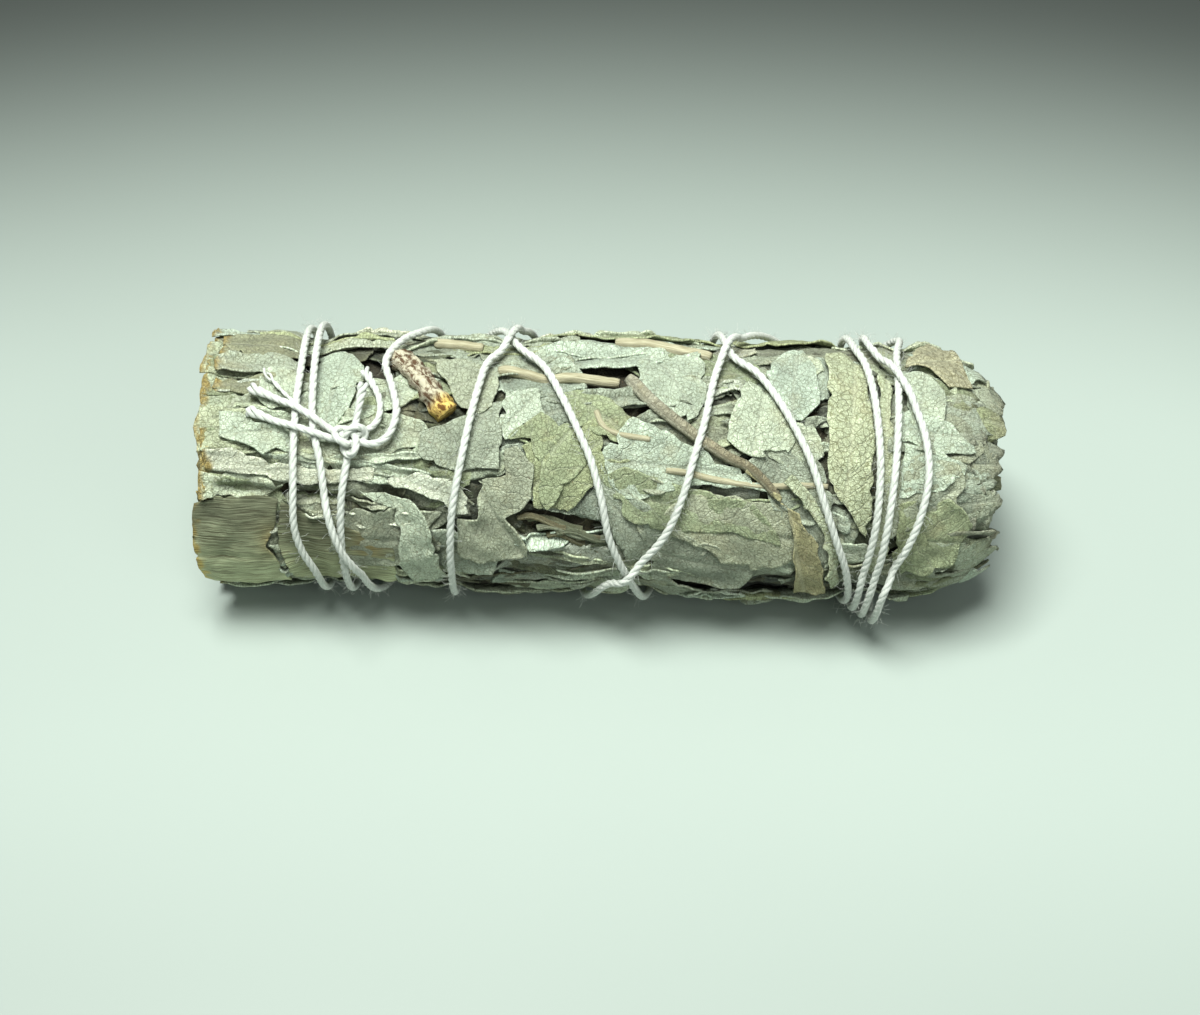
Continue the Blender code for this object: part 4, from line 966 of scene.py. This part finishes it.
loop = in_space(winding[:, 0], winding[:, 1], winding_radius)
add_twisted(loop, STRING_DIAMETER / 2)
winding_3d = kdtree.KDTree(len(loop))
for k, place in enumerate(loop):
    winding_3d.insert(place, k)
winding_3d.balance()
PRESS_REACH = 1.5
for thickness, rise, fray, route in STRING_ENDS:
    fine = smooth_route(route, 0.4)
    height = bunch_radius(*fine.T) + thickness + 0.15
    for k, (along, around) in enumerate(fine):
        under = in_space(np.array(along), np.array(around), envelope(along) + 0.6)
        _, nearest, apart = winding_3d.find(under)
        if apart < PRESS_REACH * MM:
            lift = 0.95 * math.sqrt(1 - (apart / MM / PRESS_REACH) ** 2)
            height[k] = max(height[k], winding_radius[nearest] + lift)
    height = np.convolve(np.pad(height, 2, mode="edge"), np.ones(5) / 5, mode="valid")
    height = height + rise * np.linspace(0, 1, len(height)) ** 1.5
    plies = 2 if thickness < 0.4 else 3
    add_twisted(in_space(*fine.T, height), thickness, plies, 3.3, fray * 0.4)

# The knot: a flattened trefoil of the same string
KNOT_ALONG = -29.5
KNOT_AROUND = math.radians(53)
KNOT_RADIUS = envelope(-29.4) + 1.5
turn = np.linspace(0, 2 * math.pi, 90)
knot_along = KNOT_ALONG + 0.66 * (np.sin(turn) + 2 * np.sin(2 * turn))
knot_around = KNOT_AROUND + 0.62 * (np.cos(turn) - 2 * np.cos(2 * turn)) / BUNCH_RADIUS
add_twisted(in_space(knot_along, knot_around, KNOT_RADIUS - 0.75 * np.sin(3 * turn)), 0.54)

# Loose fibres that stand off the string
FIBRE_COUNT = 2600
FIBRE_RADIUS = 0.016
loose_fibres = Sheets()
for _ in range(FIBRE_COUNT):
    k = int(made.integers(5, len(loop) - 5))
    start = Vector(loop[k])
    outwards = Vector((0, start.y, start.z - AXIS_HEIGHT * MM)).normalized()
    heading = (Vector(loop[k + 3]) - start).normalized()
    side = outwards.cross(heading)
    swing = made.uniform(-1.5, 1.5)
    start = start + (outwards * math.cos(swing) + side * math.sin(swing)) * 0.5 * MM
    way = outwards * math.cos(swing) * 0.8 + side * math.sin(swing) + heading * made.uniform(-1.2, 1.2)
    bend = Vector(made.normal(0, 0.45, 3))
    reach = made.uniform(0.3, 1.1) * MM
    points = [np.array(start + way * reach * t + bend * reach * t * t) for t in (0, 0.35, 0.7, 1.0)]
    if min(point[2] for point in points) < 0.1 * MM:
        continue
    loose_fibres.add(*swept(points, FIBRE_RADIUS * MM, 3), (1.05, 1.05, 1.05))
string.make("binding_string_fine", cotton, "cotton_string", ["binding_string"], 0)
loose_fibres.make("string_fibres", cotton, "cotton_string", ["binding_string"], 0)

# Room: a pale surface with light falloff painted on it, and soft light from above and behind
floor_mesh = bpy.data.meshes.new("floor")
floor_mesh.from_pydata([(-2, -1.2, 0), (2, -1.2, 0), (2, 3, 0), (-2, 3, 0)], [], [(0, 1, 2, 3)])
floor = placed("floor", floor_mesh)
floor_painted_light, tree, inputs = new_material("Pale surface with painted light")
place = node(tree, "ShaderNodeTexCoord").outputs["Object"]
cloud = ramp(tree, noise(tree, place, 6.0, 4.0).outputs[0], 0.35, 0.7, 0.0, 1.0)
colour = mix(tree, cloud, (0.332, 0.390, 0.350, 1), (0.320, 0.375, 0.337, 1))
parts = node(tree, "ShaderNodeSeparateXYZ", {0: place})
beside, behind = parts.outputs[0], parts.outputs[1]
# Painted light on the floor: darker far behind and off to the sides, darker near the camera, and a little
# lighter to the right.
bow = maths(tree, "MULTIPLY", maths(tree, "MULTIPLY", beside, beside), 1.2)
painted_falloff = ramp(tree, maths(tree, "ADD", behind, bow), 0.028, 0.152, 1.0, 0.13, "SMOOTHSTEP")
near = ramp(tree, behind, -0.085, -0.03, 0.84, 1.0, "SMOOTHSTEP")
painted_side_light = ramp(tree, beside, -0.08, 0.08, 0.95, 1.06)
painted_falloff = maths(tree, "MULTIPLY", painted_falloff, maths(tree, "MULTIPLY", near, painted_side_light))
tree.links.new(dimmed(tree, colour, painted_falloff), inputs["Base Color"])
inputs["Roughness"].default_value = 0.42
floor_mesh.materials.append(floor_painted_light)


def soft_light(name, place, target, size, power, colour):
    data = bpy.data.lights.new(name, "AREA")
    data.shape = "RECTANGLE"
    data.size, data.size_y = size
    data.energy = power
    data.color = colour
    light = placed(name, data)
    light.location = place
    light.rotation_euler = (Vector(target) - Vector(place)).to_track_quat("-Z", "Y").to_euler()


soft_light("key", (-0.07, -0.07, 0.56), (0, 0, 0.01), (0.30, 0.22), 7.0, (0.98, 1.0, 0.97))
soft_light("fill", (0.25, -0.45, 0.40), (0, 0, 0), (0.4, 0.3), 0.9, (0.95, 1.0, 0.98))
world = bpy.data.worlds.new("room")
world.use_nodes = True
background = world.node_tree.nodes["Background"]
background.inputs[0].default_value = (0.78, 0.85, 0.83, 1)
background.inputs[1].default_value = 0.17
bpy.context.scene.world = world

# Camera: distance in metres, angles in degrees
CAMERA_DISTANCE = 0.289
CAMERA_TURN = 1.8
CAMERA_RISE = 45
CAMERA_DROP = 1.11
HALF_VIEW = 15
azimuth, elevation = math.radians(CAMERA_TURN), math.radians(CAMERA_RISE)
target = Vector((0, 0, AXIS_HEIGHT * MM))
back = Vector((math.sin(azimuth) * math.cos(elevation), -math.cos(azimuth) * math.cos(elevation),
               math.sin(elevation)))
camera_data = bpy.data.cameras.new("camera")
camera_data.sensor_width = 36
camera_data.lens = camera_data.sensor_width / 2 / math.tan(math.radians(HALF_VIEW))
camera = placed("camera", camera_data)
camera.location = target + back * CAMERA_DISTANCE
camera.rotation_euler = (math.pi / 2 - elevation - math.radians(CAMERA_DROP), 0, azimuth)
bpy.context.scene.camera = camera
bpy.context.scene.view_settings.view_transform = "Standard"
